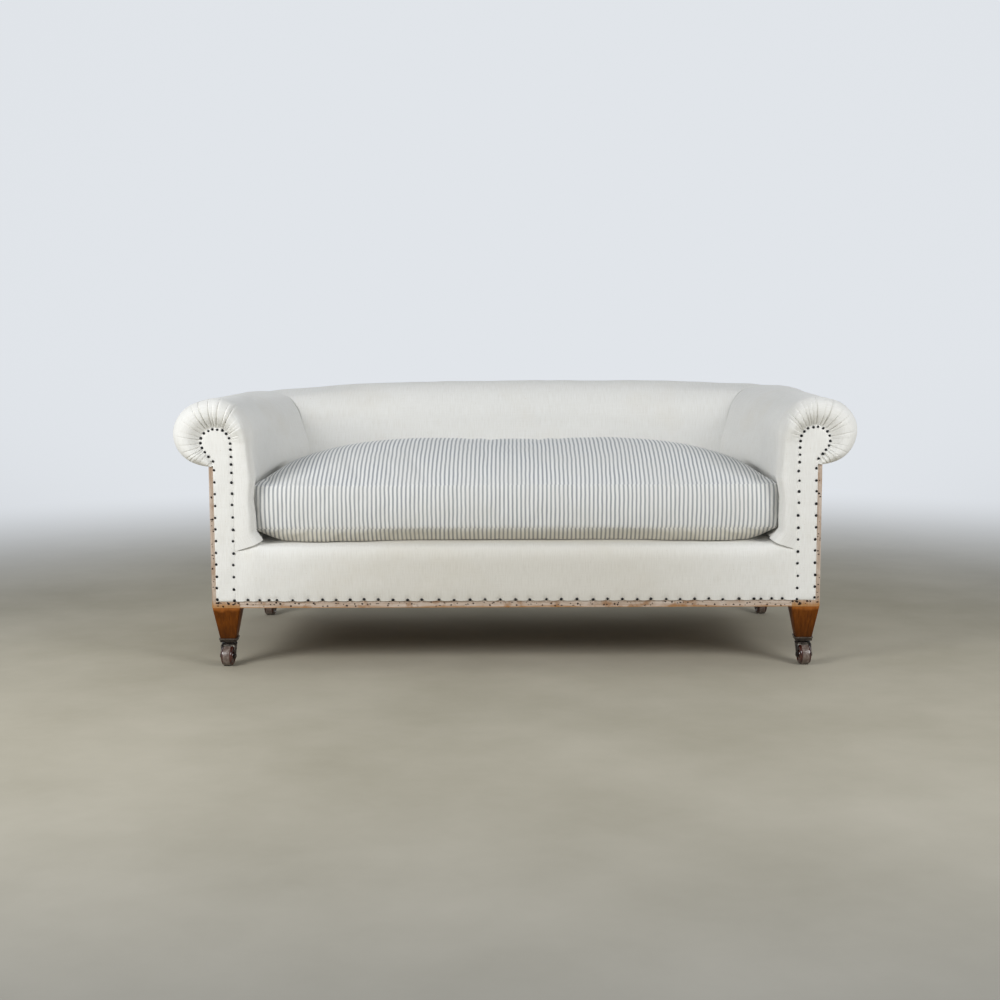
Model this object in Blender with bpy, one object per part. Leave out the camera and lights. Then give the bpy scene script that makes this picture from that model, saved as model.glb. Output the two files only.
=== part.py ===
"""Chesterfield sofa on castors: beech frame, sprung seat, rolled arms and back, loose cushion.

Metres, +Z up, the front faces -Y, and the middle of the footprint on the floor is the origin.
"""

import math

import bmesh
import bpy
from mathutils import Matrix, Vector

# Overall sizes
WIDTH = 1.760
DEPTH = 0.880
ARM_HEIGHT = 0.6955
BACK_RISE = 0.022
CLEARANCE = 0.0003

# Castors
WHEEL_RADIUS = 0.026
WHEEL_WIDTH = 0.030
WHEEL_SIDES = 24
WHEEL_PLAY = 0.0012
TREAD_SHARE = 0.5
AXLE_RADIUS = 0.0035
TRAIL = 0.016
TOE_OUT = math.radians(4)
CHEEK = 0.0035
RIVET = 0.0015
CROWN_PLATE = 0.005
BOSS_HEIGHT = 0.004
SPINDLE_RADIUS = 0.005
SPINDLE_LENGTH = 0.016
CUP_FLOOR = 0.003
CUP_WALL = 0.0012
CUP_HEIGHT = 0.0105
RUNNING_FIT = 0.0006

# Legs and frame timbers
LEG_LENGTH = 0.0903
LEG_TOP = 0.072
LEG_FOOT = 0.039
DOWEL_RADIUS = 0.009
DOWEL_LENGTH = 0.050
POST_WIDTH = LEG_TOP
POST_THICKNESS = 0.050
NECK = 0.032
NECK_STEP = 0.001
RAIL_DEPTH = 0.106
RAIL_THICKNESS = 0.034
BATTEN = 0.036
SLAT = 0.022
TENON_LENGTH = 0.020
TENON_SHORT = 0.0085
TENON_SHOULDER = 0.010
LOWER_RAIL_RISE = 0.044
LOWER_RAIL_STAGGER = 0.006
UPRIGHT_WALL = 0.004
ARRIS = 0.002
HEAD_RADIUS = 0.052

# Rolls over the arms and the back
ROLL_OUT = 0.091
ROLL_HALF_HEIGHT = 0.085
SHOULDER_IN = 0.097
SHOULDER_DROP = 0.104
ARM_FOOT_IN = 0.125
BACK_FOOT_IN = 0.165
CORNER_RADIUS = 0.113
CORNER_SPREAD = 0.5
FRONT_ROUND = 0.034
PLEAT_BULGE = 0.010
COVER = 0.0015
BARE_STRIP = 0.0175
TACK_MARGIN = 0.010

# Seat
SPRING_RISE = 0.022
SEAT_PAD = 0.0465
LIP_BULGE = 0.014
LIP_EDGE = 0.004
LIP_END = 0.035
SPRING_COLUMNS = 6
SPRING_ROWS = 2
SPRING_RADIUS = 0.046
SPRING_WAIST = 0.030
SPRING_CURLS = 4
SPRING_WIRE = 0.0018
CURL_POINTS = 9
STRAP_WIDTH = 0.052
STRAP = 0.002
STRAPS_LONG = 2 * SPRING_COLUMNS - 1
STRAPS_ACROSS = 2 * SPRING_ROWS + 1

# Cushion
CUSHION_GAP = 0.003
CUSHION_FRONT = 0.034
CUSHION_SWELL = 0.012
CUSHION_EASE = 0.020
CUSHION_DRAW = 0.006
CUSHION_UNDER = 0.0255
BOXING = 0.1135
CUSHION_CROWN = 0.103
CROWN_LONG = 4.5
CROWN_DEEP = 2.5

# Heights that follow from the stack: wheel, castor, leg, rail, springs, seat, cushion
AXLE_Z = WHEEL_RADIUS * math.cos(math.pi / WHEEL_SIDES)
CROWN_Z = AXLE_Z + WHEEL_RADIUS + WHEEL_PLAY
BOSS_TOP = CROWN_Z + CROWN_PLATE + BOSS_HEIGHT
CUP_Z = BOSS_TOP + CLEARANCE
LEG_Z = CUP_Z + CUP_FLOOR + CLEARANCE
RAIL_Z = LEG_Z + LEG_LENGTH + CLEARANCE
RAIL_TOP = RAIL_Z + RAIL_DEPTH
HEM_Z = RAIL_Z + BARE_STRIP
HESSIAN_Z = RAIL_TOP + SPRING_RISE
SEAT_UNDER = HESSIAN_Z + COVER + CLEARANCE
SEAT_TOP = SEAT_UNDER + SEAT_PAD
PAD_FOOT = SEAT_TOP + 2 * CLEARANCE
ROLL_Z = ARM_HEIGHT - ROLL_HALF_HEIGHT
ROLL_UNDER = ROLL_Z - ROLL_HALF_HEIGHT
HEAD_Z = ROLL_Z - 0.3 * ROLL_HALF_HEIGHT

# Lines in plan: the outer faces of the frame, and the front face of the posts
SIDE_X = WIDTH / 2 - ROLL_OUT
BACK_Y = DEPTH / 2 - ROLL_OUT
FRONT_Y = -DEPTH / 2 + LIP_BULGE
HEAD_IN = POST_WIDTH - HEAD_RADIUS
LEG_X = SIDE_X - LEG_TOP / 2
FRONT_LEG_Y = FRONT_Y + LEG_TOP / 2
INNER_CORNER = CORNER_RADIUS - CORNER_SPREAD * (ARM_FOOT_IN + BACK_FOOT_IN) / 2
CUSHION_CORNER = INNER_CORNER + CUSHION_EASE

# The neck of a back post stands in the middle of the roll's rounded corner, over the post's inner corner
NECK_IN = HEAD_IN + (1 - math.sqrt(0.5)) * (CORNER_RADIUS - CORNER_SPREAD * HEAD_IN)
NECK_X = SIDE_X - NECK_IN
NECK_Y = BACK_Y - NECK_IN
BACK_POST = NECK_IN + NECK / 2 + NECK_STEP
BACK_LEG_X = SIDE_X - BACK_POST / 2
BACK_LEG_Y = BACK_Y - BACK_POST / 2
SIDES = (("left", -1), ("right", 1))

COLOURS = {
    "beech": ((0.55, 0.34, 0.20), 0.6, 0.0),
    "mahogany": ((0.16, 0.045, 0.012), 0.3, 0.0),
    "bronze": ((0.045, 0.035, 0.028), 0.45, 0.8),
    "glazed_wheel": ((0.05, 0.022, 0.012), 0.15, 0.0),
    "steel": ((0.30, 0.29, 0.27), 0.4, 0.9),
    "jute": ((0.42, 0.30, 0.17), 0.9, 0.0),
    "calico": ((0.80, 0.77, 0.69), 0.9, 0.0),
    "ticking": ((0.62, 0.62, 0.62), 0.9, 0.0),
}


def clear_scene():
    for thing in list(bpy.data.objects):
        bpy.data.objects.remove(thing, do_unlink=True)


def paint(thing, kind):
    """Give the object its own Principled material in one of the colours above."""
    colour, roughness, metallic = COLOURS[kind]
    material = bpy.data.materials.new(thing.name + "_" + kind)
    material.use_nodes = True
    shader = material.node_tree.nodes["Principled BSDF"]
    shader.inputs["Base Color"].default_value = (*colour, 1)
    shader.inputs["Roughness"].default_value = roughness
    shader.inputs["Metallic"].default_value = metallic
    thing.data.materials.append(material)


def add_mesh(name, bm, kind=None):
    """Turn a bmesh into an object; with no kind it is a hidden cutter."""
    bmesh.ops.recalc_face_normals(bm, faces=bm.faces)
    mesh = bpy.data.meshes.new(name)
    bm.to_mesh(mesh)
    bm.free()
    thing = bpy.data.objects.new(name, mesh)
    bpy.context.scene.collection.objects.link(thing)
    if kind:
        paint(thing, kind)
    else:
        thing.hide_render = True
        thing.display_type = "WIRE"
    return thing


def box(low, high):
    """A bmesh block between two corners."""
    low, high = Vector(low), Vector(high)
    bm = bmesh.new()
    bmesh.ops.create_cube(bm, size=1, matrix=Matrix.Translation((low + high) / 2)
                          @ Matrix.Diagonal((*(high - low), 1)))
    return bm


def cylinder(radius, low, high, sides, axis="Z", centre=(0, 0, 0)):
    """A bmesh cylinder between two heights on an axis."""
    bm = bmesh.new()
    turn = {"Z": Matrix(), "X": Matrix.Rotation(math.pi / 2, 4, "Y")}[axis]
    bmesh.ops.create_cone(bm, cap_ends=True, segments=sides, radius1=radius, radius2=radius,
                          depth=high - low, matrix=Matrix.Translation(centre) @ turn
                          @ Matrix.Translation((0, 0, (low + high) / 2)))
    return bm


def combine(target, other, how):
    """Join or cut a solid with a hidden one."""
    modifier = target.modifiers.new(other.name, "BOOLEAN")
    modifier.operation = how
    modifier.solver = "EXACT"
    modifier.object = other


def cut(target, bm, label):
    combine(target, add_mesh(target.name + "_cut_" + label, bm), "DIFFERENCE")


def join(target, bm, label):
    combine(target, add_mesh(target.name + "_add_" + label, bm), "UNION")


def loft(sections, strip_caps=False):
    """Skin equal-length closed sections in order, and close both ends.

    With strip_caps each section is a band, its outer skin followed by its inner skin reversed.
    """
    bm = bmesh.new()
    rings = [[bm.verts.new(point) for point in section] for section in sections]
    count = len(rings[0])
    for ring, following in zip(rings, rings[1:]):
        for i in range(count):
            j = (i + 1) % count
            bm.faces.new((ring[i], ring[j], following[j], following[i]))
    for ring in (rings[0], rings[-1]):
        if not strip_caps:
            bm.faces.new(ring)
            continue
        for i in range(count // 2 - 1):
            bm.faces.new((ring[i], ring[i + 1], ring[-2 - i], ring[-1 - i]))
    return bm


def prism(outline, low, high):
    """Extrude an (x, z) outline from one depth to another."""
    bm = bmesh.new()
    face = bm.faces.new([bm.verts.new((x, low, z)) for x, z in outline])
    grown = bmesh.ops.extrude_face_region(bm, geom=[face])["geom"]
    points = [item for item in grown if isinstance(item, bmesh.types.BMVert)]
    bmesh.ops.translate(bm, verts=points, vec=(0, high - low, 0))
    return bm


def arc(centre, radii, start, end, steps):
    """Points on an ellipse between two angles in degrees, both ends included."""
    points = []
    for i in range(steps + 1):
        angle = math.radians(start + (end - start) * i / steps)
        points.append((centre[0] + radii[0] * math.cos(angle), centre[1] + radii[1] * math.sin(angle)))
    return points


# Frame timbers with mortise and tenon joints
def tenon(rail, sign, axis, low, high, length, into):
    """Grow a tenon from one end of a rail, and cut its mortise in the piece that it enters."""
    bm = bmesh.new()
    bm.from_mesh(rail.data)
    face = max(bm.faces, key=lambda f: sign * f.calc_center_median()[axis])
    shoulder = face.calc_center_median()[axis]
    bmesh.ops.inset_individual(bm, faces=[face], thickness=TENON_SHOULDER / 2)
    across = [i for i in range(3) if i != axis]
    centre = face.calc_center_median()
    for vert in face.verts:
        for i in across:
            vert.co[i] = high[i] if vert.co[i] > centre[i] else low[i]
    grown = bmesh.ops.extrude_discrete_faces(bm, faces=[face])["faces"][0]
    bmesh.ops.translate(bm, verts=grown.verts, vec=[sign * length if i == axis else 0 for i in range(3)])
    bmesh.ops.recalc_face_normals(bm, faces=bm.faces)
    bm.to_mesh(rail.data)
    bm.free()
    socket_low = [value - CLEARANCE for value in low]
    socket_high = [value + CLEARANCE for value in high]
    ends = sorted((shoulder - sign * length / 2, shoulder + sign * (length + 2 * CLEARANCE)))
    socket_low[axis], socket_high[axis] = ends
    cut(into, box(socket_low, socket_high), rail.name)


def rail(name, low, high, axis, ends, length=TENON_LENGTH, slots=None):
    """A straight timber along an axis, tenoned at both ends into the two pieces given."""
    low, high = list(low), list(high)
    low[axis] += CLEARANCE
    high[axis] -= CLEARANCE
    timber = add_mesh(name, box(low, high), "beech")
    inset = [min(TENON_SHOULDER, 0.3 * (b - a)) for a, b in zip(low, high)]
    for sign, into in zip((-1, 1), ends):
        slot_low = [value + step for value, step in zip(low, inset)]
        slot_high = [value - step for value, step in zip(high, inset)]
        if slots:
            slot_low[1], slot_high[1] = slots[sign]
        tenon(timber, sign, axis, slot_low, slot_high, length, into)
    return timber


def post_outline(side):
    """The arm front post: a straight stem with a scroll head that is tangent to its inner edge."""
    meet = math.degrees(math.acos(HEAD_IN / HEAD_RADIUS))
    head = arc((-HEAD_IN, HEAD_Z), (HEAD_RADIUS, HEAD_RADIUS), 180, -meet, 20)
    stem = [(0, RAIL_Z), (-POST_WIDTH, RAIL_Z)]
    return [(side * (SIDE_X + u), z) for u, z in head + stem]


def square(x, y, size, z):
    """A level square ring with its corners taken off."""
    half, short = size / 2, size / 2 - ARRIS
    corners = ((-short, -half), (short, -half), (half, -short), (half, short),
               (short, half), (-short, half), (-half, short), (-half, -short))
    return [(x + a, y + b, z) for a, b in corners]


def spindle_hole(x, y):
    depth = SPINDLE_LENGTH + CLEARANCE
    return cylinder(SPINDLE_RADIUS + RUNNING_FIT, LEG_Z - CUP_FLOOR, CUP_Z + depth, 16, centre=(x, y, 0))


def make_arm_post(name, side):
    """An arm front post and the leg dowelled into its foot."""
    post = add_mesh("arm_front_post_" + name,
                    prism(post_outline(side), FRONT_Y, FRONT_Y + POST_THICKNESS), "beech")
    x, y = side * LEG_X, FRONT_LEG_Y
    rings = [square(x, y, LEG_FOOT, LEG_Z), square(x, y, LEG_TOP, RAIL_Z - CLEARANCE)]
    leg = add_mesh("front_leg_" + name, loft(rings), "mahogany")
    centre = (x, FRONT_Y + POST_THICKNESS / 2, 0)
    low, high = RAIL_Z - DOWEL_LENGTH / 2, RAIL_Z + DOWEL_LENGTH
    join(leg, cylinder(DOWEL_RADIUS, low, high, 16, centre=centre), "dowel")
    cut(post, cylinder(DOWEL_RADIUS + CLEARANCE, low, high + CLEARANCE, 16, centre=centre), "dowel")
    cut(leg, spindle_hole(x, y), "spindle")
    return post


def make_back_post(name, side):
    """A back post in one piece with its leg, stepped to a neck that goes up inside the roll."""
    x, y, neck_x = side * BACK_LEG_X, BACK_LEG_Y, side * NECK_X
    shoulder = ROLL_UNDER - 2 * COVER
    rings = [square(x, y, LEG_FOOT, LEG_Z), square(x, y, BACK_POST, RAIL_Z),
             square(x, y, BACK_POST, shoulder), square(neck_x, NECK_Y, NECK, shoulder),
             square(neck_x, NECK_Y, NECK, HEAD_Z + 0.7 * BATTEN)]
    post = add_mesh("back_post_" + name, loft(rings), "beech")
    cut(post, spindle_hole(x, y), "spindle")
    return post


def make_frame():
    posts = {side: make_arm_post(name, side) for name, side in SIDES}
    backs = {side: make_back_post(name, side) for name, side in SIDES}
    inner, back_inner = SIDE_X - POST_WIDTH, SIDE_X - BACK_POST
    behind, before = FRONT_Y + POST_THICKNESS, BACK_Y - BACK_POST
    front = rail("front_seat_rail", (-inner, FRONT_Y, RAIL_Z), (inner, FRONT_Y + RAIL_THICKNESS, RAIL_TOP),
                 0, (posts[-1], posts[1]))
    pair = (backs[-1], backs[1])
    rear = rail("back_seat_rail", (-back_inner, BACK_Y - RAIL_THICKNESS, RAIL_Z),
                (back_inner, BACK_Y, RAIL_TOP), 0, pair)
    low, high = HEAD_Z - BATTEN / 2, HEAD_Z + BATTEN / 2
    lower_z = RAIL_TOP + LOWER_RAIL_RISE
    for name, side in SIDES:
        ends = (posts[side], backs[side])
        near, far = sorted((side * (SIDE_X - RAIL_THICKNESS), side * SIDE_X))
        rail("side_seat_rail_" + name, (near, behind, RAIL_Z), (far, before, RAIL_TOP), 1, ends)
        near, far = side * NECK_X - NECK / 2, side * NECK_X + NECK / 2
        rail("arm_top_rail_" + name, (near, behind, low), (far, NECK_Y - NECK / 2, high), 1, ends,
             TENON_SHORT)
        near, far = sorted((side * (inner + CLEARANCE), side * (inner + CLEARANCE + SLAT)))
        rail("arm_lower_rail_" + name, (near, behind, lower_z), (far, before, lower_z + BATTEN), 1, ends)
    reach = NECK_X - NECK / 2
    top = rail("back_top_rail", (-reach, NECK_Y - NECK / 2, low), (reach, NECK_Y + NECK / 2, high),
               0, pair, TENON_SHORT)
    slat_y = BACK_Y - POST_WIDTH + CLEARANCE
    second_z = lower_z + BATTEN + LOWER_RAIL_STAGGER
    rail("back_lower_rail", (-back_inner, slat_y, second_z), (back_inner, slat_y + SLAT, second_z + BATTEN),
         0, pair)
    half = BATTEN / 2
    rail("seat_cross_rail", (-half, FRONT_Y + RAIL_THICKNESS, RAIL_Z + CLEARANCE),
         (half, BACK_Y - RAIL_THICKNESS, RAIL_Z + RAIL_DEPTH / 2), 1, (front, rear), TENON_SHORT)
    upright_y = slat_y + SLAT + CLEARANCE
    slots = {-1: (BACK_Y - 0.7 * RAIL_THICKNESS, BACK_Y - 0.3 * RAIL_THICKNESS),
             1: (upright_y + UPRIGHT_WALL, NECK_Y + NECK / 2 - UPRIGHT_WALL)}
    rail("back_centre_upright", (-half, upright_y, RAIL_TOP), (half, BACK_Y - UPRIGHT_WALL, low),
         2, (rear, top), TENON_SHORT, slots)


# Castors
def add_turned(target, bm, label, turn, how):
    """Join or cut with a piece that is drawn at the castor's own axis."""
    piece = add_mesh(target.name + "_" + label, bm)
    piece.matrix_world = turn
    combine(target, piece, how)


def make_cup(name, x, y, leg_top):
    """A square cup that fits the taper of the leg's foot."""
    foot = LEG_FOOT + 2 * CLEARANCE
    lean = (leg_top - LEG_FOOT) / LEG_LENGTH
    rim = CUP_Z + CUP_HEIGHT
    rings = [square(x, y, foot + 2 * CUP_WALL, CUP_Z),
             square(x, y, foot + 2 * CUP_WALL + lean * CUP_HEIGHT, rim),
             square(x, y, foot + lean * (CUP_HEIGHT - CUP_FLOOR), rim),
             square(x, y, foot, CUP_Z + CUP_FLOOR)]
    cup = add_mesh("castor_cup_" + name, loft(rings), "bronze")
    bore = cylinder(SPINDLE_RADIUS + RUNNING_FIT, CROWN_Z, LEG_Z + CUP_FLOOR, 16, centre=(x, y, 0))
    cut(cup, bore, "bore")


def make_fork(name, turn, inside, outside):
    """The horn: a crown plate, two cheeks down to the axle, and a spindle up into the leg."""
    reach = math.hypot(outside, 2 * CHEEK)
    fork = add_mesh("castor_fork_" + name, cylinder(reach, CROWN_Z, CROWN_Z + CROWN_PLATE, 16), "bronze")
    fork.matrix_world = turn
    eye = 2.3 * AXLE_RADIUS
    root = CROWN_Z + 0.6 * CROWN_PLATE
    outline = [(0.55 * reach, root)] + arc((-TRAIL, AXLE_Z), (eye, eye), -30, -210, 8)
    outline.append((-0.8 * reach, root))
    for label, low in (("cheek_a", -outside), ("cheek_b", inside)):
        bm = loft([[(x, y, z) for y, z in outline] for x in (low, low + CHEEK)])
        add_turned(fork, bm, label, turn, "UNION")
    seat = CROWN_Z + CROWN_PLATE / 3
    add_turned(fork, cylinder(2.5 * SPINDLE_RADIUS, seat, BOSS_TOP, 16), "boss", turn, "UNION")
    add_turned(fork, cylinder(SPINDLE_RADIUS, seat, CUP_Z + SPINDLE_LENGTH, 12), "spindle", turn, "UNION")
    hole = cylinder(AXLE_RADIUS + CLEARANCE, -2 * outside, 2 * outside, 16, "X", (0, -TRAIL, AXLE_Z))
    add_turned(fork, hole, "eye", turn, "DIFFERENCE")


def spun(name, profile, sides, turn, kind):
    """Spin a (radius, offset) profile about the axle line, with one flat of the tread facing down."""
    closed = profile[0][0] > 0
    count = len(profile)
    bm = bmesh.new()
    loops = []
    for i in range(sides):
        angle = 2 * math.pi * (i + 0.5) / sides
        across, up = math.sin(angle), math.cos(angle)
        loops.append([bm.verts.new((offset, radius * across - TRAIL, radius * up + AXLE_Z))
                      for radius, offset in profile])
    for i, loop in enumerate(loops):
        following = loops[(i + 1) % sides]
        for j in range(count if closed else count - 1):
            k = (j + 1) % count
            bm.faces.new((loop[j], loop[k], following[k], following[j]))
    if not closed:
        bmesh.ops.remove_doubles(bm, verts=bm.verts, dist=1e-6)
    add_mesh(name, bm, kind).matrix_world = turn


def make_wheel(name, turn, outside):
    """The axle pin with its riveted ends, and the barrel-shaped wheel that turns on it."""
    end, knob = outside + CLEARANCE, 1.6 * AXLE_RADIUS
    tip = end + RIVET
    pin = [(0, -tip), (knob, -tip), (knob, -end), (AXLE_RADIUS, -end),
           (AXLE_RADIUS, end), (knob, end), (knob, tip), (0, tip)]
    spun("castor_axle_" + name, pin, 12, turn, "bronze")
    half = WHEEL_WIDTH / 2
    side_face = [(AXLE_RADIUS + RUNNING_FIT, half), (0.45 * WHEEL_RADIUS, half),
                 (0.5 * WHEEL_RADIUS, 0.8 * half), (0.72 * WHEEL_RADIUS, 0.8 * half),
                 (0.8 * WHEEL_RADIUS, half), (0.93 * WHEEL_RADIUS, 0.85 * half),
                 (WHEEL_RADIUS, TREAD_SHARE * half)]
    profile = side_face + [(radius, -offset) for radius, offset in reversed(side_face)]
    spun("castor_wheel_" + name, profile, WHEEL_SIDES, turn, "glazed_wheel")


def make_castors():
    inside = WHEEL_WIDTH / 2 + 1.5 * RUNNING_FIT
    outside = inside + CHEEK
    feet = (("front_", LEG_X, FRONT_LEG_Y, LEG_TOP), ("rear_", BACK_LEG_X, BACK_LEG_Y, BACK_POST))
    for end, x, y, leg_top in feet:
        for name, side in SIDES:
            turn = Matrix.Translation((side * x, y, 0)) @ Matrix.Rotation(side * TOE_OUT, 4, "Z")
            make_cup(end + name, side * x, y, leg_top)
            make_fork(end + name, turn, inside, outside)
            make_wheel(end + name, turn, outside)


# Springing
def spread(count, low, high):
    """Even positions between two limits, half a step in from each."""
    step = (high - low) / count
    return [low + step * (i + 0.5) for i in range(count)]


def strap_lines():
    """Middle lines of the straps in x and in y. Every second one carries springs."""
    limit = SIDE_X - POST_WIDTH
    return (spread(STRAPS_LONG, -limit, limit),
            spread(STRAPS_ACROSS, FRONT_Y + RAIL_THICKNESS, BACK_Y - RAIL_THICKNESS))


def make_webbing():
    """Straps both ways under the rails, as one net."""
    long, across = strap_lines()
    half_x = SIDE_X - RAIL_THICKNESS / 2
    lines_x, lines_y = [-half_x], [FRONT_Y + RAIL_THICKNESS / 4]
    for lines, middles in ((lines_x, long), (lines_y, across)):
        for middle in middles:
            lines += [middle - STRAP_WIDTH / 2, middle + STRAP_WIDTH / 2]
    lines_x.append(half_x)
    lines_y.append(BACK_Y - RAIL_THICKNESS / 4)
    top = RAIL_Z - CLEARANCE
    bm = bmesh.new()
    grid = [[bm.verts.new((x, y, top - STRAP)) for y in lines_y] for x in lines_x]
    for i in range(len(lines_x) - 1):
        for j in range(len(lines_y) - 1):
            if i % 2 or j % 2:
                bm.faces.new((grid[i][j], grid[i + 1][j], grid[i + 1][j + 1], grid[i][j + 1]))
    loose = [vert for vert in bm.verts if not vert.link_faces]
    bmesh.ops.delete(bm, geom=loose, context="VERTS")
    grown = bmesh.ops.extrude_face_region(bm, geom=bm.faces[:])["geom"]
    points = [item for item in grown if isinstance(item, bmesh.types.BMVert)]
    bmesh.ops.translate(bm, verts=points, vec=(0, 0, STRAP))
    add_mesh("seat_webbing", bm, "jute")


def make_springs():
    """Double-cone springs between the webbing and the hessian, each one unbroken wire."""
    low = RAIL_Z + SPRING_WIRE
    high = HESSIAN_Z - CLEARANCE - SPRING_WIRE
    total = SPRING_CURLS * CURL_POINTS
    path = []
    for i in range(total + 1):
        t = i / total
        radius = SPRING_WAIST + (SPRING_RADIUS - SPRING_WAIST) * (2 * t - 1) ** 2
        angle = 2 * math.pi * SPRING_CURLS * t
        path.append(Vector((radius * math.cos(angle), radius * math.sin(angle), low + (high - low) * t)))
    gaps = [(path[i] - path[j]).length - 2 * SPRING_WIRE
            for i in range(total) for j in range(i + CURL_POINTS // 2, total)]
    print("least gap in a spring, mm:", round(1000 * min(gaps), 2))
    curve = bpy.data.curves.new("seat_spring", "CURVE")
    curve.dimensions = "3D"
    curve.bevel_depth = SPRING_WIRE
    curve.bevel_resolution = 0
    curve.use_fill_caps = True
    spline = curve.splines.new("POLY")
    spline.points.add(total)
    for point, place in zip(spline.points, path):
        point.co = (*place, 1)
    number = 0
    long, across = strap_lines()
    for y in across[1::2]:
        for x in long[::2]:
            number += 1
            spring = bpy.data.objects.new("seat_spring_%02d" % number, curve.copy())
            spring.location = (x, y, 0)
            bpy.context.scene.collection.objects.link(spring)
            paint(spring, "steel")


# Upholstery
def pad_profile():
    """Matched outer and inner skins of the roll, as (arm u, back u, z) and (u, z).

    u runs outwards from the frame's outer face. The outer skin goes up the inside of the arm, over the
    shoulder and round the roll. The inner skin goes up the post and round its scroll head.
    """
    knee = ARM_HEIGHT - SHOULDER_DROP
    outer = []
    for t in (0, 0.25, 0.5, 0.75):
        ease = (1 - t) ** 1.5
        z = PAD_FOOT + (knee - PAD_FOOT) * t
        outer.append((-SHOULDER_IN - (ARM_FOOT_IN - SHOULDER_IN) * ease,
                      -SHOULDER_IN - (BACK_FOOT_IN - SHOULDER_IN) * ease, z))
    shoulder = arc((0, knee), (SHOULDER_IN, SHOULDER_DROP), 180, 90, 5)
    roll = arc((0, ROLL_Z), (ROLL_OUT, ROLL_HALF_HEIGHT), 90, -90, 10)[1:]
    outer += [(u, u, z) for u, z in shoulder + roll]
    outer[-1] = (CLEARANCE, CLEARANCE, ROLL_UNDER)
    inner = [(-POST_WIDTH - CLEARANCE, PAD_FOOT + (HEAD_Z - PAD_FOOT) * t) for t in (0, 0.25, 0.5, 0.75)]
    reach = HEAD_RADIUS + CLEARANCE
    meet = math.degrees(math.acos((HEAD_IN + CLEARANCE) / reach))
    count = len(outer) - len(inner) - 1
    inner += arc((-HEAD_IN, HEAD_Z), (reach / math.cos(math.radians(180 + meet) / count / 2),) * 2,
                 180, -meet, count)
    inner[-1] = (CLEARANCE, HEAD_Z - reach * math.sin(math.radians(meet)))
    return outer, inner


def plan(arm_u, back_u, turn):
    """Where a line of the roll runs in plan, from the arm (turn 0) round the corner to the back (90)."""
    x, y = SIDE_X + arm_u, BACK_Y + back_u
    radius = CORNER_RADIUS + CORNER_SPREAD * (arm_u + back_u) / 2
    angle = math.radians(turn)
    return x - radius + radius * math.cos(angle), y - radius + radius * math.sin(angle)


def crown(x, z, turn):
    """The back rises towards its middle, most at the top of the roll."""
    height = max(0, (z - ROLL_UNDER) / (ARM_HEIGHT - ROLL_UNDER))
    return BACK_RISE * height * math.sin(math.radians(turn)) ** 2 * max(0, 1 - (x / SIDE_X) ** 2)


def pad_section(side, turn, y=None, x=None, pull=0):
    """One section: on the arm at a given y, in the corner, or on the back at a given x."""
    outer, inner = pad_profile()
    skins = [[], []]
    for (arm_u, back_u, z), (inner_u, inner_z) in zip(outer, inner):
        gap = math.hypot(arm_u - inner_u, z - inner_z)
        share = pull * min(1, 0.75 * gap / FRONT_ROUND) / gap
        arm_u += (inner_u - arm_u) * share
        z += (inner_z - z) * share
        for skin, (au, bu, height) in zip(skins, ((arm_u, back_u, z), (inner_u, inner_u, inner_z))):
            px, py = plan(au, bu, turn)
            if y is not None:
                px, py = SIDE_X + au, y
            if x is not None:
                px, py = x, BACK_Y + bu
            rise = crown(px, height, turn) if skin is skins[0] else 0
            skin.append((side * px, py, height + rise))
    return skins[0] + skins[1][::-1]


def make_pads():
    slit = math.degrees(CLEARANCE / CORNER_RADIUS) * 2.5
    front = FRONT_Y - PLEAT_BULGE
    for name, side in SIDES:
        sections = []
        for angle in (0, 22, 45, 67, 90):
            sweep = math.radians(angle)
            sections.append(pad_section(side, 0, y=front + FRONT_ROUND * (1 - math.cos(sweep)),
                                        pull=FRONT_ROUND * (1 - math.sin(sweep))))
        sections += [pad_section(side, turn) for turn in (0, 15, 30, 45 - slit)]
        add_mesh("arm_pad_" + name, loft(sections, True), "calico")
    middle = SIDE_X - CORNER_RADIUS * 1.3
    stations = [-middle * (1 - i / 4) for i in range(9)]
    sections = [pad_section(-1, turn) for turn in (45 + slit, 60, 75, 90)]
    sections += [pad_section(1, 90, x=x) for x in stations[1:-1]]
    sections += [pad_section(1, turn) for turn in (90, 75, 60, 45 + slit)]
    add_mesh("back_pad", loft(sections, True), "calico")


def make_seat_pad():
    """The stuffed seat over the springs, with a lip that runs down the front rail to the hem."""
    end = SIDE_X - POST_WIDTH - CLEARANCE
    rear = BACK_Y - POST_WIDTH - CLEARANCE
    drop = SEAT_TOP - HEM_Z
    left = [(-end, 0.4, 0.06), (-end + 0.3 * LIP_END, 0.8, 0.02), (-end + LIP_END, 1, 0)]
    stations = left + [(-x, bulge, sink) for x, bulge, sink in reversed(left)]
    back, over = rear - FRONT_Y, RAIL_TOP + CLEARANCE
    sections = []
    for x, bulge, sink in stations:
        top = SEAT_TOP - sink * drop
        skin = [(-LIP_EDGE, HEM_Z)]
        for out, rise in ((0.8, 0.2), (1, 0.48), (0.9, 0.72)):
            skin.append((-LIP_BULGE * out * bulge, HEM_Z + drop * rise))
        skin += [(-LIP_EDGE * bulge, top - 0.1 * drop), (LIP_BULGE, top - 0.02 * drop), (RAIL_THICKNESS, top)]
        skin += [(back, top), (back, SEAT_UNDER), (RAIL_THICKNESS, SEAT_UNDER), (RAIL_THICKNESS, over),
                 (-CLEARANCE, over), (-CLEARANCE, HEM_Z)]
        sections.append([(x, FRONT_Y + depth, z) for depth, z in skin])
    add_mesh("seat_pad", loft(sections), "calico")
    hessian = box((-end, FRONT_Y + RAIL_THICKNESS + CLEARANCE, HESSIAN_Z), (end, rear, HESSIAN_Z + COVER))
    add_mesh("seat_hessian", hessian, "jute")


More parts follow.
